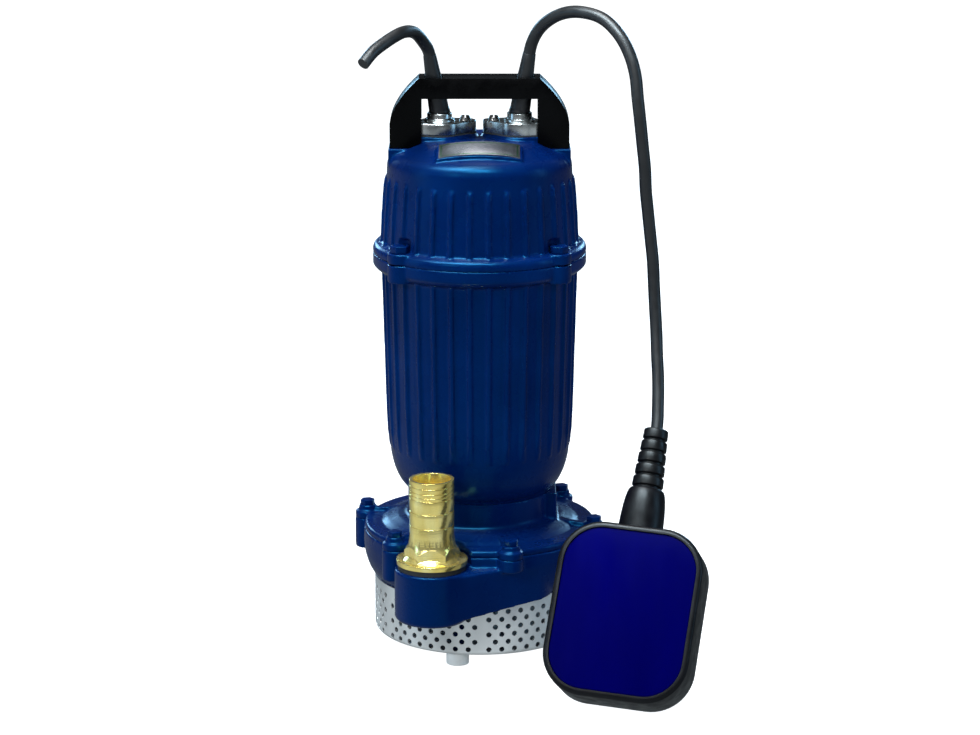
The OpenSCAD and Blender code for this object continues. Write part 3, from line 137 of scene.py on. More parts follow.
def add_softbox(name, place, size, watts, colour, on_matt):
    bpy.ops.object.light_add(type="AREA", location=place)
    lamp = bpy.context.object
    lamp.name = name
    lamp.data.shape = "RECTANGLE"
    lamp.data.size, lamp.data.size_y = size
    lamp.data.energy = watts
    lamp.data.color = colour
    lamp.visible_camera = False
    lamp.visible_diffuse = on_matt
    way = LAMP_AIM - Vector(place)
    lamp.rotation_euler = way.to_track_quat("-Z", "Y").to_euler()


def set_stage():
    bpy.ops.mesh.primitive_plane_add(size=40, location=(0, 0, 0))
    floor = bpy.context.object
    floor.name = "floor"
    sheet = bpy.data.materials.new("floor_white")
    sheet.use_nodes = True
    shader = sheet.node_tree.nodes["Principled BSDF"]
    shader.inputs["Base Color"].default_value = (0.5, 0.5, 0.5, 1)
    shader.inputs["Roughness"].default_value = 0.9
    shader.inputs["Specular IOR Level"].default_value = 0.1
    shader.inputs["Emission Color"].default_value = (1, 1, 1, 1)
    shader.inputs["Emission Strength"].default_value = 1.0
    floor.data.materials.append(sheet)
    floor.visible_glossy = False
    floor.visible_diffuse = False
    for name, box in SOFTBOXES.items():
        add_softbox(name, *box)


# ---------------------------------------------------------------- materials

COAT_ROUGHNESS = 0.05
GLOSS_DETAIL = 4.0
# A noise texture's values lie mostly between these two.
NOISE_LOW, NOISE_HIGH = 0.3, 0.7


class Finish:
    """One material, its nodes and the bump that its reliefs add to."""

    def __init__(self, name, colour, roughness, metal=0.0, gloss=None, coat=0.0):
        self.material = bpy.data.materials.new(name)
        self.material.use_nodes = True
        tree = self.material.node_tree
        self.nodes, self.links = tree.nodes, tree.links
        self.shader = self.nodes["Principled BSDF"]
        self.shader.inputs["Base Color"].default_value = (*colour, 1)
        self.shader.inputs["Roughness"].default_value = roughness
        self.shader.inputs["Metallic"].default_value = metal
        if gloss is not None:
            self.shader.inputs["Specular IOR Level"].default_value = gloss
        self.shader.inputs["Coat Weight"].default_value = coat
        self.shader.inputs["Coat Roughness"].default_value = COAT_ROUGHNESS
        self.place = self.nodes.new("ShaderNodeTexCoord").outputs["Object"]
        self.bump_in = None

    def noise(self, scale, detail=3.0, stretch=(1, 1, 1)):
        place = self.place
        if stretch != (1, 1, 1):
            turn = self.nodes.new("ShaderNodeMapping")
            turn.inputs["Scale"].default_value = stretch
            self.links.new(place, turn.inputs["Vector"])
            place = turn.outputs["Vector"]
        grain = self.nodes.new("ShaderNodeTexNoise")
        grain.inputs["Scale"].default_value = scale
        grain.inputs["Detail"].default_value = detail
        self.links.new(place, grain.inputs["Vector"])
        return grain.outputs["Fac"]

    def ramp(self, value, stops):
        bands = self.nodes.new("ShaderNodeValToRGB")
        self.links.new(value, bands.inputs["Fac"])
        fill_ramp(bands, stops)
        return bands.outputs["Color"]

    def mottle(self, scale, stops, stretch=(1, 1, 1)):
        colour = self.ramp(self.noise(scale, stretch=stretch), stops)
        self.links.new(colour, self.shader.inputs["Base Color"])

    def uneven_gloss(self, scale, low, high, stretch=(1, 1, 1)):
        spread = self.nodes.new("ShaderNodeMapRange")
        self.links.new(self.noise(scale, GLOSS_DETAIL, stretch), spread.inputs["Value"])
        spread.inputs["From Min"].default_value = NOISE_LOW
        spread.inputs["From Max"].default_value = NOISE_HIGH
        spread.inputs["To Min"].default_value = low
        spread.inputs["To Max"].default_value = high
        self.links.new(spread.outputs["Result"], self.shader.inputs["Roughness"])

    def relief(self, height, depth, strength):
        bump = self.nodes.new("ShaderNodeBump")
        bump.inputs["Distance"].default_value = depth
        bump.inputs["Strength"].default_value = strength
        self.links.new(height, bump.inputs["Height"])
        if self.bump_in is not None:
            self.links.new(self.bump_in, bump.inputs["Normal"])
        self.bump_in = bump.outputs["Normal"]
        self.links.new(self.bump_in, self.shader.inputs["Normal"])


def blue_enamel():
    paint = Finish("blue_enamel", (0.0002, 0.0110, 0.100), 0.30)
    paint.shader.inputs["IOR"].default_value = 1.25
    paint.shader.inputs["Specular Tint"].default_value = (0.03, 0.55, 1.0, 1)
    paint.mottle(
        18,
        [
            (0.30, (0.0001, 0.0090, 0.080)),
            (0.55, (0.0002, 0.0130, 0.102)),
            (0.75, (0.0004, 0.0190, 0.128)),
        ],
    )
    paint.uneven_gloss(60, 0.22, 0.34)
    paint.relief(paint.noise(160, 3.0), 0.0002, 0.35)
    paint.relief(paint.noise(800, 2.0), 0.00008, 0.4)
    return paint.material


def perforated_steel():
    steel = Finish("perforated_steel", (0.72, 0.71, 0.70), 0.34, metal=0.62)
    steel.mottle(
        26,
        [(0.3, (0.56, 0.55, 0.54)), (0.5, (0.72, 0.71, 0.70)), (0.7, (0.84, 0.83, 0.82))],
        stretch=(1, 1, 0.5),
    )
    steel.uneven_gloss(45, 0.30, 0.50, stretch=(1, 1, 0.15))
    steel.relief(steel.noise(900, 2.0, (1, 1, 0.06)), 0.00006, 0.5)
    steel.relief(steel.noise(60, 2.0), 0.0006, 0.25)
    return steel.material


def cast_stainless():
    steel = Finish("cast_stainless", (0.40, 0.40, 0.395), 0.26, metal=1.0)
    steel.mottle(80, [(0.35, (0.22, 0.22, 0.22)), (0.6, (0.42, 0.42, 0.415))])
    steel.uneven_gloss(160, 0.20, 0.34)
    steel.relief(steel.noise(120, 3.0), 0.0004, 0.35)
    return steel.material


def polished_brass():
    brass = Finish("polished_brass", (0.87, 0.69, 0.22), 0.16, metal=0.8)
    brass.mottle(
        70,
        [(0.3, (0.76, 0.57, 0.15)), (0.5, (0.87, 0.69, 0.22)), (0.72, (0.97, 0.84, 0.38))],
        stretch=(1, 1, 0.4),
    )
    brass.uneven_gloss(120, 0.12, 0.24)
    brass.relief(brass.noise(520, 2.0, (0.05, 0.05, 1)), 0.00018, 0.45)
    brass.relief(brass.noise(60, 2.0), 0.0003, 0.12)
    return brass.material


def cable_rubber():
    rubber = Finish("cable_rubber", (0.010, 0.010, 0.0115), 0.42, gloss=0.35)
    rubber.mottle(60, [(0.3, (0.007, 0.007, 0.0085)), (0.7, (0.015, 0.015, 0.017))])
    rubber.uneven_gloss(110, 0.34, 0.52)
    rubber.relief(rubber.noise(1400, 2.0), 0.00006, 0.6)
    return rubber.material


def boot_rubber():
    rubber = Finish("boot_rubber", (0.0045, 0.0045, 0.0055), 0.36, gloss=0.16)
    rubber.mottle(70, [(0.3, (0.003, 0.003, 0.004)), (0.7, (0.007, 0.007, 0.008))])
    rubber.uneven_gloss(110, 0.28, 0.44)
    rubber.relief(rubber.noise(1400, 2.0), 0.00006, 0.6)
    return rubber.material


def gasket_rubber():
    rubber = Finish("gasket_rubber", (0.01, 0.01, 0.011), 0.6)
    rubber.mottle(300, [(0.3, (0.007, 0.007, 0.008)), (0.7, (0.016, 0.016, 0.017))])
    rubber.relief(rubber.noise(1600, 2.0), 0.00005, 0.6)
    return rubber.material


def handle_black():
    moulding = Finish("handle_black", (0.0015, 0.0015, 0.0018), 0.3, gloss=0.05)
    moulding.mottle(40, [(0.3, (0.0008, 0.0008, 0.001)), (0.7, (0.0024, 0.0024, 0.0028))])
    moulding.uneven_gloss(160, 0.20, 0.36)
    moulding.relief(moulding.noise(1500, 3.0), 0.00008, 0.5)
    return moulding.material


def float_rim_black():
    moulding = Finish("float_rim_black", (0.005, 0.005, 0.007), 0.36, gloss=0.12)
    moulding.mottle(50, [(0.3, (0.003, 0.003, 0.0045)), (0.7, (0.008, 0.008, 0.0105))])
    moulding.uneven_gloss(120, 0.28, 0.46)
    moulding.relief(moulding.noise(1300, 3.0), 0.00008, 0.5)
    return moulding.material


def float_panel_blue():
    panel = Finish("float_panel_blue", (0.0, 0.0, 0.13), 0.32, gloss=0.015)
    panel.shader.inputs["Specular Tint"].default_value = (0.3, 0.3, 1.0, 1)
    panel.mottle(
        9,
        [(0.30, (0.0, 0.0, 0.075)), (0.55, (0.0, 0.0, 0.100)), (0.80, (0.0, 0.0, 0.150))],
        stretch=(1.6, 1, 0.35),
    )
    panel.uneven_gloss(26, 0.26, 0.44, stretch=(3, 1, 0.4))
    panel.relief(panel.noise(1200, 3.0), 0.00006, 0.5)
    panel.relief(panel.noise(30, 2.0, (2.5, 1, 0.3)), 0.0005, 0.15)
    return panel.material


def foot_white():
    foot = Finish("foot_white", (0.80, 0.80, 0.79), 0.5)
    foot.mottle(120, [(0.3, (0.74, 0.74, 0.73)), (0.7, (0.84, 0.84, 0.83))])
    foot.relief(foot.noise(1200, 2.0), 0.00006, 0.5)
    return foot.material


PLATE_PLACE = (0, -0.0475, 0.3985)
PLATE_LEAN = math.radians(21)
LINE_HALF_LENGTH = 0.0283
LINE_HALF_WIDTH = 0.0073
LINE_THICKNESS = 0.0007
LINE_GREEN = (0.02, 0.22, 0.05, 1)


def plate_film():
    """Grey film with a thin green line round it, drawn in the plate's own plane."""
    film = Finish("plate_film", (0.30, 0.30, 0.33), 0.22, metal=1.0)
    own = film.nodes.new("ShaderNodeMapping")
    own.vector_type = "TEXTURE"
    own.inputs["Location"].default_value = PLATE_PLACE
    own.inputs["Rotation"].default_value = (PLATE_LEAN, 0, 0)
    film.links.new(film.place, own.inputs["Vector"])
    split = film.nodes.new("ShaderNodeSeparateXYZ")
    film.links.new(own.outputs["Vector"], split.inputs["Vector"])

    def math_node(operation, first, second=None, value=0.0):
        node = film.nodes.new("ShaderNodeMath")
        node.operation = operation
        film.links.new(first, node.inputs[0])
        if second is None:
            node.inputs[1].default_value = value
        else:
            film.links.new(second, node.inputs[1])
        return node.outputs[0]

    x_size = math_node("ABSOLUTE", split.outputs["X"])
    y_size = math_node("ABSOLUTE", split.outputs["Y"])
    past_x = math_node("SUBTRACT", x_size, value=LINE_HALF_LENGTH)
    past_y = math_node("SUBTRACT", y_size, value=LINE_HALF_WIDTH)
    edge = math_node("MAXIMUM", past_x, past_y)
    outside = math_node("GREATER_THAN", edge, value=0.0)
    within = math_node("LESS_THAN", edge, value=LINE_THICKNESS)
    line = math_node("MULTIPLY", outside, within)
    grey = film.ramp(
        film.noise(30, 3.0, (1, 3, 1)),
        [(0.3, (0.22, 0.22, 0.25)), (0.7, (0.42, 0.42, 0.45))],
    )
    mix = film.nodes.new("ShaderNodeMix")
    mix.data_type = "RGBA"
    film.links.new(line, mix.inputs["Factor"])
    film.links.new(grey, mix.inputs["A"])
    mix.inputs["B"].default_value = LINE_GREEN
    film.links.new(mix.outputs["Result"], film.shader.inputs["Base Color"])
    film.relief(film.noise(1500, 2.0), 0.00004, 0.5)
    return film.material


def bearing_steel():
    steel = Finish("bearing_steel", (0.66, 0.66, 0.67), 0.18, metal=1.0)
    steel.mottle(80, [(0.3, (0.56, 0.56, 0.57)), (0.7, (0.72, 0.72, 0.73))])
    steel.relief(steel.noise(1500, 2.0, (0.05, 0.05, 1)), 0.00004, 0.5)
    return steel.material


def core_sheets():
    steel = Finish("core_sheets", (0.24, 0.245, 0.26), 0.42, metal=0.9)
    steel.mottle(
        900,
        [(0.35, (0.12, 0.12, 0.13)), (0.6, (0.32, 0.325, 0.34))],
        stretch=(0.02, 0.02, 1),
    )
    steel.relief(steel.noise(900, 1.0, (0.02, 0.02, 1)), 0.0002, 0.6)
    return steel.material


def winding_copper():
    wire = Finish("winding_copper", (0.60, 0.20, 0.07), 0.3, metal=0.8, coat=0.5)
    wire.mottle(
        500,
        [(0.35, (0.30, 0.085, 0.03)), (0.6, (0.68, 0.26, 0.09))],
        stretch=(1, 1, 0.2),
    )
    wire.relief(wire.noise(700, 2.0, (1, 1, 0.1)), 0.0004, 0.7)
    return wire.material


def grey_iron():
    iron = Finish("grey_iron", (0.16, 0.165, 0.17), 0.5, metal=0.7)
    iron.mottle(120, [(0.3, (0.11, 0.115, 0.12)), (0.7, (0.22, 0.225, 0.23))])
    iron.relief(iron.noise(500, 3.0), 0.0003, 0.5)
    return iron.material


def seal_carbon():
    carbon = Finish("seal_carbon", (0.03, 0.03, 0.033), 0.35)
    carbon.mottle(400, [(0.3, (0.02, 0.02, 0.022)), (0.7, (0.05, 0.05, 0.054))])
    carbon.relief(carbon.noise(1500, 2.0), 0.00004, 0.5)
    return carbon.material


def inner_black():
    moulding = Finish("inner_black", (0.02, 0.02, 0.022), 0.45)
    moulding.mottle(200, [(0.3, (0.014, 0.014, 0.016)), (0.7, (0.03, 0.03, 0.033))])
    moulding.relief(moulding.noise(1300, 2.0), 0.00006, 0.5)
    return moulding.material


# ---------------------------------------------------------------- modelling by hand

MERGE_DISTANCE = 0.00001
FLAT_ANGLE = math.radians(0.8)
CAST_FACES = 95000
# Points this near to a joint's plane stay where they are.
JOINT_MARGIN = 0.0011
SOFT_SEGMENTS = 3
SOFT_ANGLE = 32
LATHE_ANGLE = 40


def pick(*chosen):
    if bpy.context.object and bpy.context.object.mode != "OBJECT":
        bpy.ops.object.mode_set(mode="OBJECT")
    bpy.ops.object.select_all(action="DESELECT")
    for piece in chosen:
        piece.select_set(True)
    bpy.context.view_layer.objects.active = chosen[-1]


def edit(piece):
    pick(piece)
    bpy.ops.object.mode_set(mode="EDIT")


def leave():
    bpy.ops.object.mode_set(mode="OBJECT")


def settle(piece):
    """Applies the piece's place, so that its own origin is the shared one."""
    pick(piece)
    bpy.ops.object.transform_apply(location=True, rotation=True, scale=True)


def choose_faces(piece, test):
    """Selects the faces whose centre and normal pass the test, in edit mode."""
    bpy.ops.mesh.select_mode(type="FACE")
    bpy.ops.mesh.select_all(action="DESELECT")
    leave()
    for face in piece.data.polygons:
        face.select = bool(test(face.center, face.normal))
    bpy.ops.object.mode_set(mode="EDIT")


def choose_edges(piece, test):
    """Selects the edges whose two ends pass the test, in edit mode."""
    bpy.ops.mesh.select_mode(type="EDGE")
    bpy.ops.mesh.select_all(action="DESELECT")
    leave()
    points = piece.data.vertices
    for line in piece.data.edges:
        a, b = (points[i].co for i in line.vertices)
        line.select = bool(test(a, b))
    bpy.ops.object.mode_set(mode="EDIT")


def apply_modifier(piece, kind, **settings):
    pick(piece)
    modifier = piece.modifiers.new(kind.lower(), kind)
    for key, value in settings.items():
        setattr(modifier, key, value)
    bpy.ops.object.modifier_apply(modifier=modifier.name)


def smooth(piece, angle):
    pick(piece)
    bpy.ops.object.shade_smooth_by_angle(angle=math.radians(angle))


def paint_with(piece, finish):
    piece.data.materials.clear()
    piece.data.materials.append(finish)


def dress(piece, finish, body):
    paint_with(piece, finish)
    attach(piece, body)
    return piece


def copy_of(node, name):
    """A merged copy of a CAD node, ready to be shaped."""
    piece = bpy.data.objects.new(name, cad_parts[node].data.copy())
    bpy.context.collection.objects.link(piece)
    edit(piece)
    bpy.ops.mesh.select_all(action="SELECT")
    bpy.ops.mesh.customdata_custom_splitnormals_clear()
    bpy.ops.mesh.remove_doubles(threshold=MERGE_DISTANCE)
    leave()
    return piece


def cast_part(node, voxel, passes, joints):
    """A casting: corners and inner corners rounded as in a mould, but not the joint faces."""
    piece = copy_of(node, node + "_casting")
    apply_modifier(piece, "REMESH", mode="VOXEL", voxel_size=voxel, use_smooth_shade=True)
    loose = piece.vertex_groups.new(name="free_of_joints")
    free = [
        point.index
        for point in piece.data.vertices
        if all(abs(point.co.z - height) > JOINT_MARGIN for height in joints)
    ]
    loose.add(free, 1.0, "REPLACE")
    apply_modifier(piece, "SMOOTH", factor=0.5, iterations=passes, vertex_group=loose.name)
    count = len(piece.data.polygons)
    if count > CAST_FACES:
        apply_modifier(piece, "DECIMATE", ratio=CAST_FACES / count)
    piece.vertex_groups.clear()
    pick(piece)
    bpy.ops.object.shade_smooth()
    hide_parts(node)
    return piece


def softened_part(node, width):
    """A machined or moulded part with its edges broken."""
    piece = copy_of(node, node + "_softened")
    edit(piece)
    bpy.ops.mesh.select_all(action="SELECT")
    bpy.ops.mesh.dissolve_limited(angle_limit=FLAT_ANGLE)
    leave()
    apply_modifier(
        piece,
        "BEVEL",
        width=width,
        segments=SOFT_SEGMENTS,
        limit_method="ANGLE",
        angle_limit=math.radians(SOFT_ANGLE),
        use_clamp_overlap=True,
    )
    smooth(piece, SOFT_ANGLE)
    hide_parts(node)
    return piece


def lathe(name, rings, sides, centre=(0, 0)):
    """Raises a circle through rings of (radius, height), ring by ring."""
    radius, height = rings[0]
    bpy.ops.object.select_all(action="DESELECT")
    bpy.ops.mesh.primitive_circle_add(
        vertices=sides,
        radius=radius,
        fill_type="NGON",
        location=(centre[0], centre[1], height),
    )
    piece = bpy.context.object
    piece.name = name
    edit(piece)
    bpy.ops.mesh.select_all(action="SELECT")
    for new_radius, new_height in rings[1:]:
        bpy.ops.mesh.extrude_region_move(
            TRANSFORM_OT_translate={"value": (0, 0, new_height - height)}
        )
        grow = new_radius / radius
        bpy.ops.transform.resize(
            value=(grow, grow, 1), center_override=(centre[0], centre[1], new_height)
        )
        radius, height = new_radius, new_height
    bpy.ops.mesh.select_all(action="SELECT")
    bpy.ops.mesh.normals_make_consistent(inside=False)
    leave()
    settle(piece)
    smooth(piece, LATHE_ANGLE)
    return piece


# ---------------------------------------------------------------- the float's own frame

SWIVEL = Vector((0.1335, -0.097, 0.1986))
FLOAT_TURN = Euler((math.radians(-29.5), math.radians(3), math.radians(-14.5)), "XYZ")
FLOAT_POSE = Matrix.Translation(SWIVEL) @ FLOAT_TURN.to_matrix().to_4x4()


def onto_float(piece):
    piece.matrix_world = FLOAT_POSE @ piece.matrix_world
    settle(piece)
    return piece


# ---------------------------------------------------------------- cables

MM = 0.001
FLOAT_ROUTE_MM = [
    (43, -10, 480), (52, -19, 491), (64, -29, 498), (77, -40, 500), (91, -51, 497),
    (102, -61, 488), (110, -68, 475), (115, -73, 459), (117, -76, 441), (119, -76, 424),
    (121, -75, 406), (123, -73, 388), (124, -70, 371), (126, -68, 353), (128, -67, 335),
    (130, -67, 317), (131, -67, 299), (132, -69, 281), (133, -72, 264), (133.5, -77, 247),
    (134.2, -83, 230), (134, -90, 213),
]
MAINS_ROUTE_MM = [
    (-44, -18, 477), (-49.5, -28.5, 483.5), (-56, -41.5, 485.5), (-62.5, -53, 484),
    (-70, -64.5, 480.5), (-78, -75, 475.5), (-85, -84.5, 468),
]
CABLE_D = 0.0094
# How far the float's cable runs into the boot, measured from the swivel.
CABLE_INTO_BOOT = 0.0049
END_HANDLE = 0.01

# Both sleeves lean outwards by the same angle, and nod forwards by their own.
LEFT, RIGHT = -1, 1
SLEEVE_X, SLEEVE_Y, SLEEVE_Z = 0.0305, 0.001, 0.4180
SLEEVE_LENGTH = 0.047
SLEEVE_LEAN = math.radians(9)
NODS = {LEFT: 12, RIGHT: 6}


def sleeve_foot(side):
    return Vector((side * SLEEVE_X, SLEEVE_Y, SLEEVE_Z))


def sleeve_way(side):
    nod = math.radians(NODS[side])
    return Vector((
        side * math.sin(SLEEVE_LEAN) * math.cos(nod),
        -math.sin(nod),
        math.cos(SLEEVE_LEAN) * math.cos(nod),
    ))


def sleeve_end(side):
    return sleeve_foot(side) + SLEEVE_LENGTH * sleeve_way(side)


def lay_cable(name, points, first_way, last_way):
    """One smooth curve through the points, leaving and ending in the given directions."""
    data = bpy.data.curves.new(name, "CURVE")
    data.dimensions = "3D"
    data.bevel_depth = CABLE_D / 2
    data.bevel_resolution = 5
    data.resolution_u = 6
    data.use_fill_caps = True
    line = data.splines.new("BEZIER")
    line.bezier_points.add(len(points) - 1)
    last = len(points) - 1
    for i, place in enumerate(points):
        if i == 0:
            way = first_way.normalized()
        elif i == last:
            way = last_way.normalized()
        else:
            way = (points[i + 1] - points[i - 1]).normalized()
        before = (points[i] - points[i - 1]).length if i else END_HANDLE
        after = (points[i + 1] - points[i]).length if i < last else END_HANDLE
        knot = line.bezier_points[i]
        knot.co = place
        knot.handle_left_type = knot.handle_right_type = "FREE"
        knot.handle_left = place - way * before / 3
        knot.handle_right = place + way * after / 3
    piece = bpy.data.objects.new(name, data)
    bpy.context.collection.objects.link(piece)
    return piece, line.calc_length()


def make_cables(rubber):
    """The float's cable from end to end, and the mains cable's stub with its plain cut end."""
    hang = FLOAT_TURN.to_matrix() @ Vector((0, 0, -1))
    start = sleeve_end(RIGHT)
    points = [start] + [Vector(p) * MM for p in FLOAT_ROUTE_MM]
    points.append(SWIVEL + hang * CABLE_INTO_BOOT)
    piece, length = lay_cable("float_cable_lead", points, sleeve_way(RIGHT), hang)
    dress(piece, rubber, "pump")
    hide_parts("float_cable")

    start = sleeve_end(LEFT)
    points = [start] + [Vector(p) * MM for p in MAINS_ROUTE_MM]
    end_way = points[-1] - points[-2]
    piece, length = lay_cable("mains_cable_lead", points, sleeve_way(LEFT), end_way)
    dress(piece, rubber, "pump")
    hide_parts("mains_cable")


# ---------------------------------------------------------------- the float

# Heights are measured down from the swivel.
FLOAT_MIDDLE = -0.1485
FLOAT_BOX = (0.109, 0.041, 0.131)
FLOAT_CORNER = 0.0325
RIM_ROUND = 0.0034
RIM_ANGLE = 38
LIP_WIDTH = 0.0011
LEDGE_DEPTH = 0.004
LEDGE_WIDTH = 0.003
# Reach across the float that picks its middle faces, and the ledges' depths from its middle.
NEAR_MIDDLE = 0.01
LEDGE_NEAR, LEDGE_FAR = 0.0160, 0.0170
BOOT_TOP, BOOT_END, CONE_END = -0.005, -0.051, -0.083
BOOT_RIBS = 5
RIB_SHARE = 0.84
FIRST_RIB_RADIUS = 0.0092
RIB_GROWTH = 0.0006


def make_float_rim(finish):
    """The float's black rim, open on both sides, with a ledge for each blue face."""
    bpy.ops.object.select_all(action="DESELECT")
    bpy.ops.mesh.primitive_cube_add(size=1, location=(0, 0, FLOAT_MIDDLE), scale=FLOAT_BOX)
    rim = bpy.context.object
    rim.name = "float_rim"
    settle(rim)
    edit(rim)
    choose_edges(rim, lambda a, b: abs(a.y - b.y) > 0.03)
    bpy.ops.mesh.bevel(offset=FLOAT_CORNER, segments=14, affect="EDGES")
    choose_edges(rim, lambda a, b: a.y == b.y)
    bpy.ops.mesh.bevel(offset=RIM_ROUND, segments=5, affect="EDGES")
    for side in (-1, 1):
        choose_faces(rim, lambda c, n: n.y * side > 0.999 and abs(c.x) < NEAR_MIDDLE)
        bpy.ops.mesh.inset(thickness=LIP_WIDTH)
        bpy.ops.mesh.extrude_region_move(
            TRANSFORM_OT_translate={"value": (0, -side * LEDGE_DEPTH, 0)}
        )
        bpy.ops.mesh.inset(thickness=LEDGE_WIDTH)
    choose_faces(
        rim,
        lambda c, n: abs(n.y) > 0.999
        and abs(c.x) < NEAR_MIDDLE
        and LEDGE_NEAR < abs(c.y) < LEDGE_FAR,
    )
    bpy.ops.mesh.bridge_edge_loops()
    bpy.ops.mesh.select_all(action="SELECT")
    bpy.ops.mesh.normals_make_consistent(inside=False)
    leave()
    smooth(rim, RIM_ANGLE)
    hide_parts("float_body")
    return dress(onto_float(rim), finish, "float")


def make_float_cone(finish):
    """The black neck between the boot and the float, flared into the rim's top."""
    rings = [
        (0.0010, CONE_END - 0.0002), (0.0168, CONE_END), (0.0167, -0.0785), (0.0164, -0.0720),
        (0.0159, -0.0655), (0.0152, -0.0600), (0.0144, -0.0560), (0.0137, -0.0535),
        (0.0130, -0.0521), (0.0120, -0.0513), (0.0108, BOOT_END), (0.0010, BOOT_END),
    ]
    cone = lathe("float_neck", rings, 56)
    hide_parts("float_cone")
    return dress(onto_float(cone), finish, "float")


def make_float_boot(finish):
    """The ribbed rubber boot round the cable's end, wider rib by rib."""
    rings = [(0.0049, BOOT_TOP - 0.0008), (0.0060, BOOT_TOP - 0.0001), (0.0076, BOOT_TOP)]
    pitch = (BOOT_TOP - BOOT_END) / BOOT_RIBS
    for k in range(BOOT_RIBS):
        top = BOOT_TOP - k * pitch
        low = top - RIB_SHARE * pitch
        r = FIRST_RIB_RADIUS + RIB_GROWTH * k
        rings += [
            (r - 0.0008, top - 0.0001), (r - 0.0002, top - 0.0006), (r, top - 0.0014),
            (r + 0.0002, low + 0.0014), (r + 0.0001, low + 0.0006), (r - 0.0006, low),
            (r - 0.0014, low - 0.0002), (r - 0.0014, top - pitch + 0.0002),
        ]
    rings += [(0.0102, BOOT_END), (0.0060, BOOT_END)]
    boot = lathe("float_boot_ribbed", rings, 48)
    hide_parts("float_boot")
    onto_float(boot)
    paint_with(boot, finish)
    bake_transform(boot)
    return boot


# ---------------------------------------------------------------- cable sleeves

SLEEVE_SIDES = 40
SLEEVE_RINGS = [
    (0.0040, -0.0020), (0.0077, -0.0012), (0.0076, 0.0060), (0.0073, 0.0120), (0.0068, 0.0200),
    (0.0062, 0.0290), (0.0056, 0.0370), (0.00515, 0.0440), (0.00495, 0.0466), (0.00480, 0.0470),
    (0.0045, 0.0470),
]
BARREL_RINGS = [
    (0.0040, 0.3880), (0.0076, 0.3882), (0.0076, 0.4178), (0.0080, 0.4181), (0.0082, 0.4186),
    (0.0081, 0.4194), (0.0078, 0.4206), (0.0074, 0.4222), (0.0068, 0.4229), (0.0040, 0.4230),
]


def make_sleeve(side, finish):
    """One rubber sleeve: an upright barrel with a lip on the gland, and a leaning tapered tip."""
    name = "right" if side == RIGHT else "left"
    tip = lathe("sleeve_tip_" + name, SLEEVE_RINGS, SLEEVE_SIDES)
    lean = Euler((math.radians(NODS[side]), side * SLEEVE_LEAN, 0), "XYZ").to_matrix().to_4x4()
    tip.matrix_world = Matrix.Translation(sleeve_foot(side)) @ lean @ tip.matrix_world
    settle(tip)
    barrel = lathe(
        "sleeve_barrel_" + name, BARREL_RINGS, SLEEVE_SIDES, centre=(side * SLEEVE_X, SLEEVE_Y)
    )
    pick(tip, barrel)
    bpy.ops.object.join()
    barrel.name = "sleeve_" + name
    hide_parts("cable_sleeve_" + name)
    return dress(barrel, finish, "pump")


# ---------------------------------------------------------------- the scene

set_camera()
set_world()
set_stage()

enamel = blue_enamel()
sheet_steel = perforated_steel()
plate_steel = cast_stainless()
brass = polished_brass()
rubber = cable_rubber()
dark_rubber = boot_rubber()
seal_rubber = gasket_rubber()
black = handle_black()
rim_black = float_rim_black()
panel_blue = float_panel_blue()
white = foot_white()
film = plate_film()
race_steel = bearing_steel()
core_steel = core_sheets()
copper = winding_copper()
iron = grey_iron()
carbon = seal_carbon()
dark_moulding = inner_black()

make_cables(rubber)
make_sleeve(LEFT, rubber)
make_sleeve(RIGHT, rubber)
make_float_rim(rim_black)
make_float_cone(rim_black)
make_float_boot(dark_rubber)

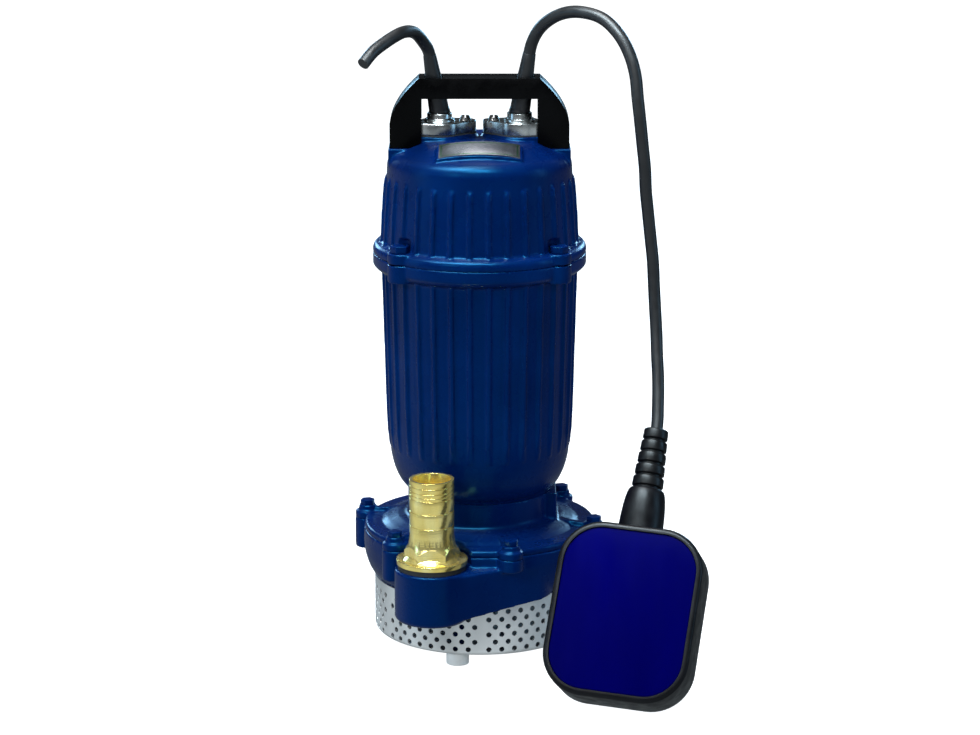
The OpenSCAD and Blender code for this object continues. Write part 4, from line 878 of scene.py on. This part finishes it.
# The heights where two castings, or the casing and the strainer, meet.
STRAINER_JOINT, CASING_JOINT, NECK_JOINT, FLANGE_JOINT = 0.054, 0.091, 0.123, 0.311
for node, voxel, passes, joints in (
    ("pump_casing", 0.0011, 5, (STRAINER_JOINT, CASING_JOINT)),
    ("casing_cover", 0.0010, 3, (CASING_JOINT, NECK_JOINT)),
    ("motor_housing", 0.0011, 2, (NECK_JOINT, FLANGE_JOINT)),
    ("top_cover", 0.0010, 3, (FLANGE_JOINT,)),
):
    dress(cast_part(node, voxel, passes, joints), enamel, "pump")

for node, width, finish, slot in (
    ("casing_bolts", 0.0004, enamel, "blue_paint"),
    ("cover_bolts", 0.0005, enamel, "blue_paint"),
    ("oil_plug", 0.0005, enamel, "blue_paint"),
    ("hose_tail", 0.0006, brass, "brass"),
    ("gland_plate_left", 0.0016, plate_steel, "stainless"),
    ("gland_plate_right", 0.0016, plate_steel, "stainless"),
    ("gland_screws", 0.0011, plate_steel, "stainless"),
    ("handle", 0.0011, black, "black_plastic"),
    ("handle_screws", 0.0002, plate_steel, "stainless"),
    ("feet", 0.0007, white, "white_plastic"),
):
    dress(softened_part(node, width), finish, "pump")
for node in ("float_face_front", "float_face_rear"):
    dress(softened_part(node, 0.0008), panel_blue, "float")

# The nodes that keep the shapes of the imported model, by body and finish.
NODE_FINISHES = {
    "pump": {
        sheet_steel: "strainer foot_screws",
        plate_steel: "housing_screws capacitor_clip",
        seal_rubber: "wear_ring casing_gasket outlet_gasket oil_seal cover_o_ring"
        " inner_leads gland_gaskets",
        carbon: "seal_seat",
        race_steel: "lower_bearing_outer upper_bearing_outer",
        core_steel: "stator_core",
        copper: "stator_winding",
        iron: "bearing_bracket",
        white: "capacitor",
        dark_moulding: "terminal_block",
        film: "nameplate",
    },
    "rotor": {
        race_steel: "shaft lower_bearing_inner upper_bearing_inner bearing_balls"
        " impeller_key impeller_nut",
        core_steel: "rotor_core",
        carbon: "seal_head",
        iron: "impeller",
    },
    "float": {
        dark_moulding: "float_frame microswitch",
        copper: "float_wires",
    },
    "ball": {race_steel: "float_ball"},
    "plunger": {white: "switch_plunger"},
}
for finishes in NODE_FINISHES.values():
    for finish, names in finishes.items():
        for name in names.split():
            paint_with(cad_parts[name], finish)

bpy.context.scene.view_settings.view_transform = "Standard"
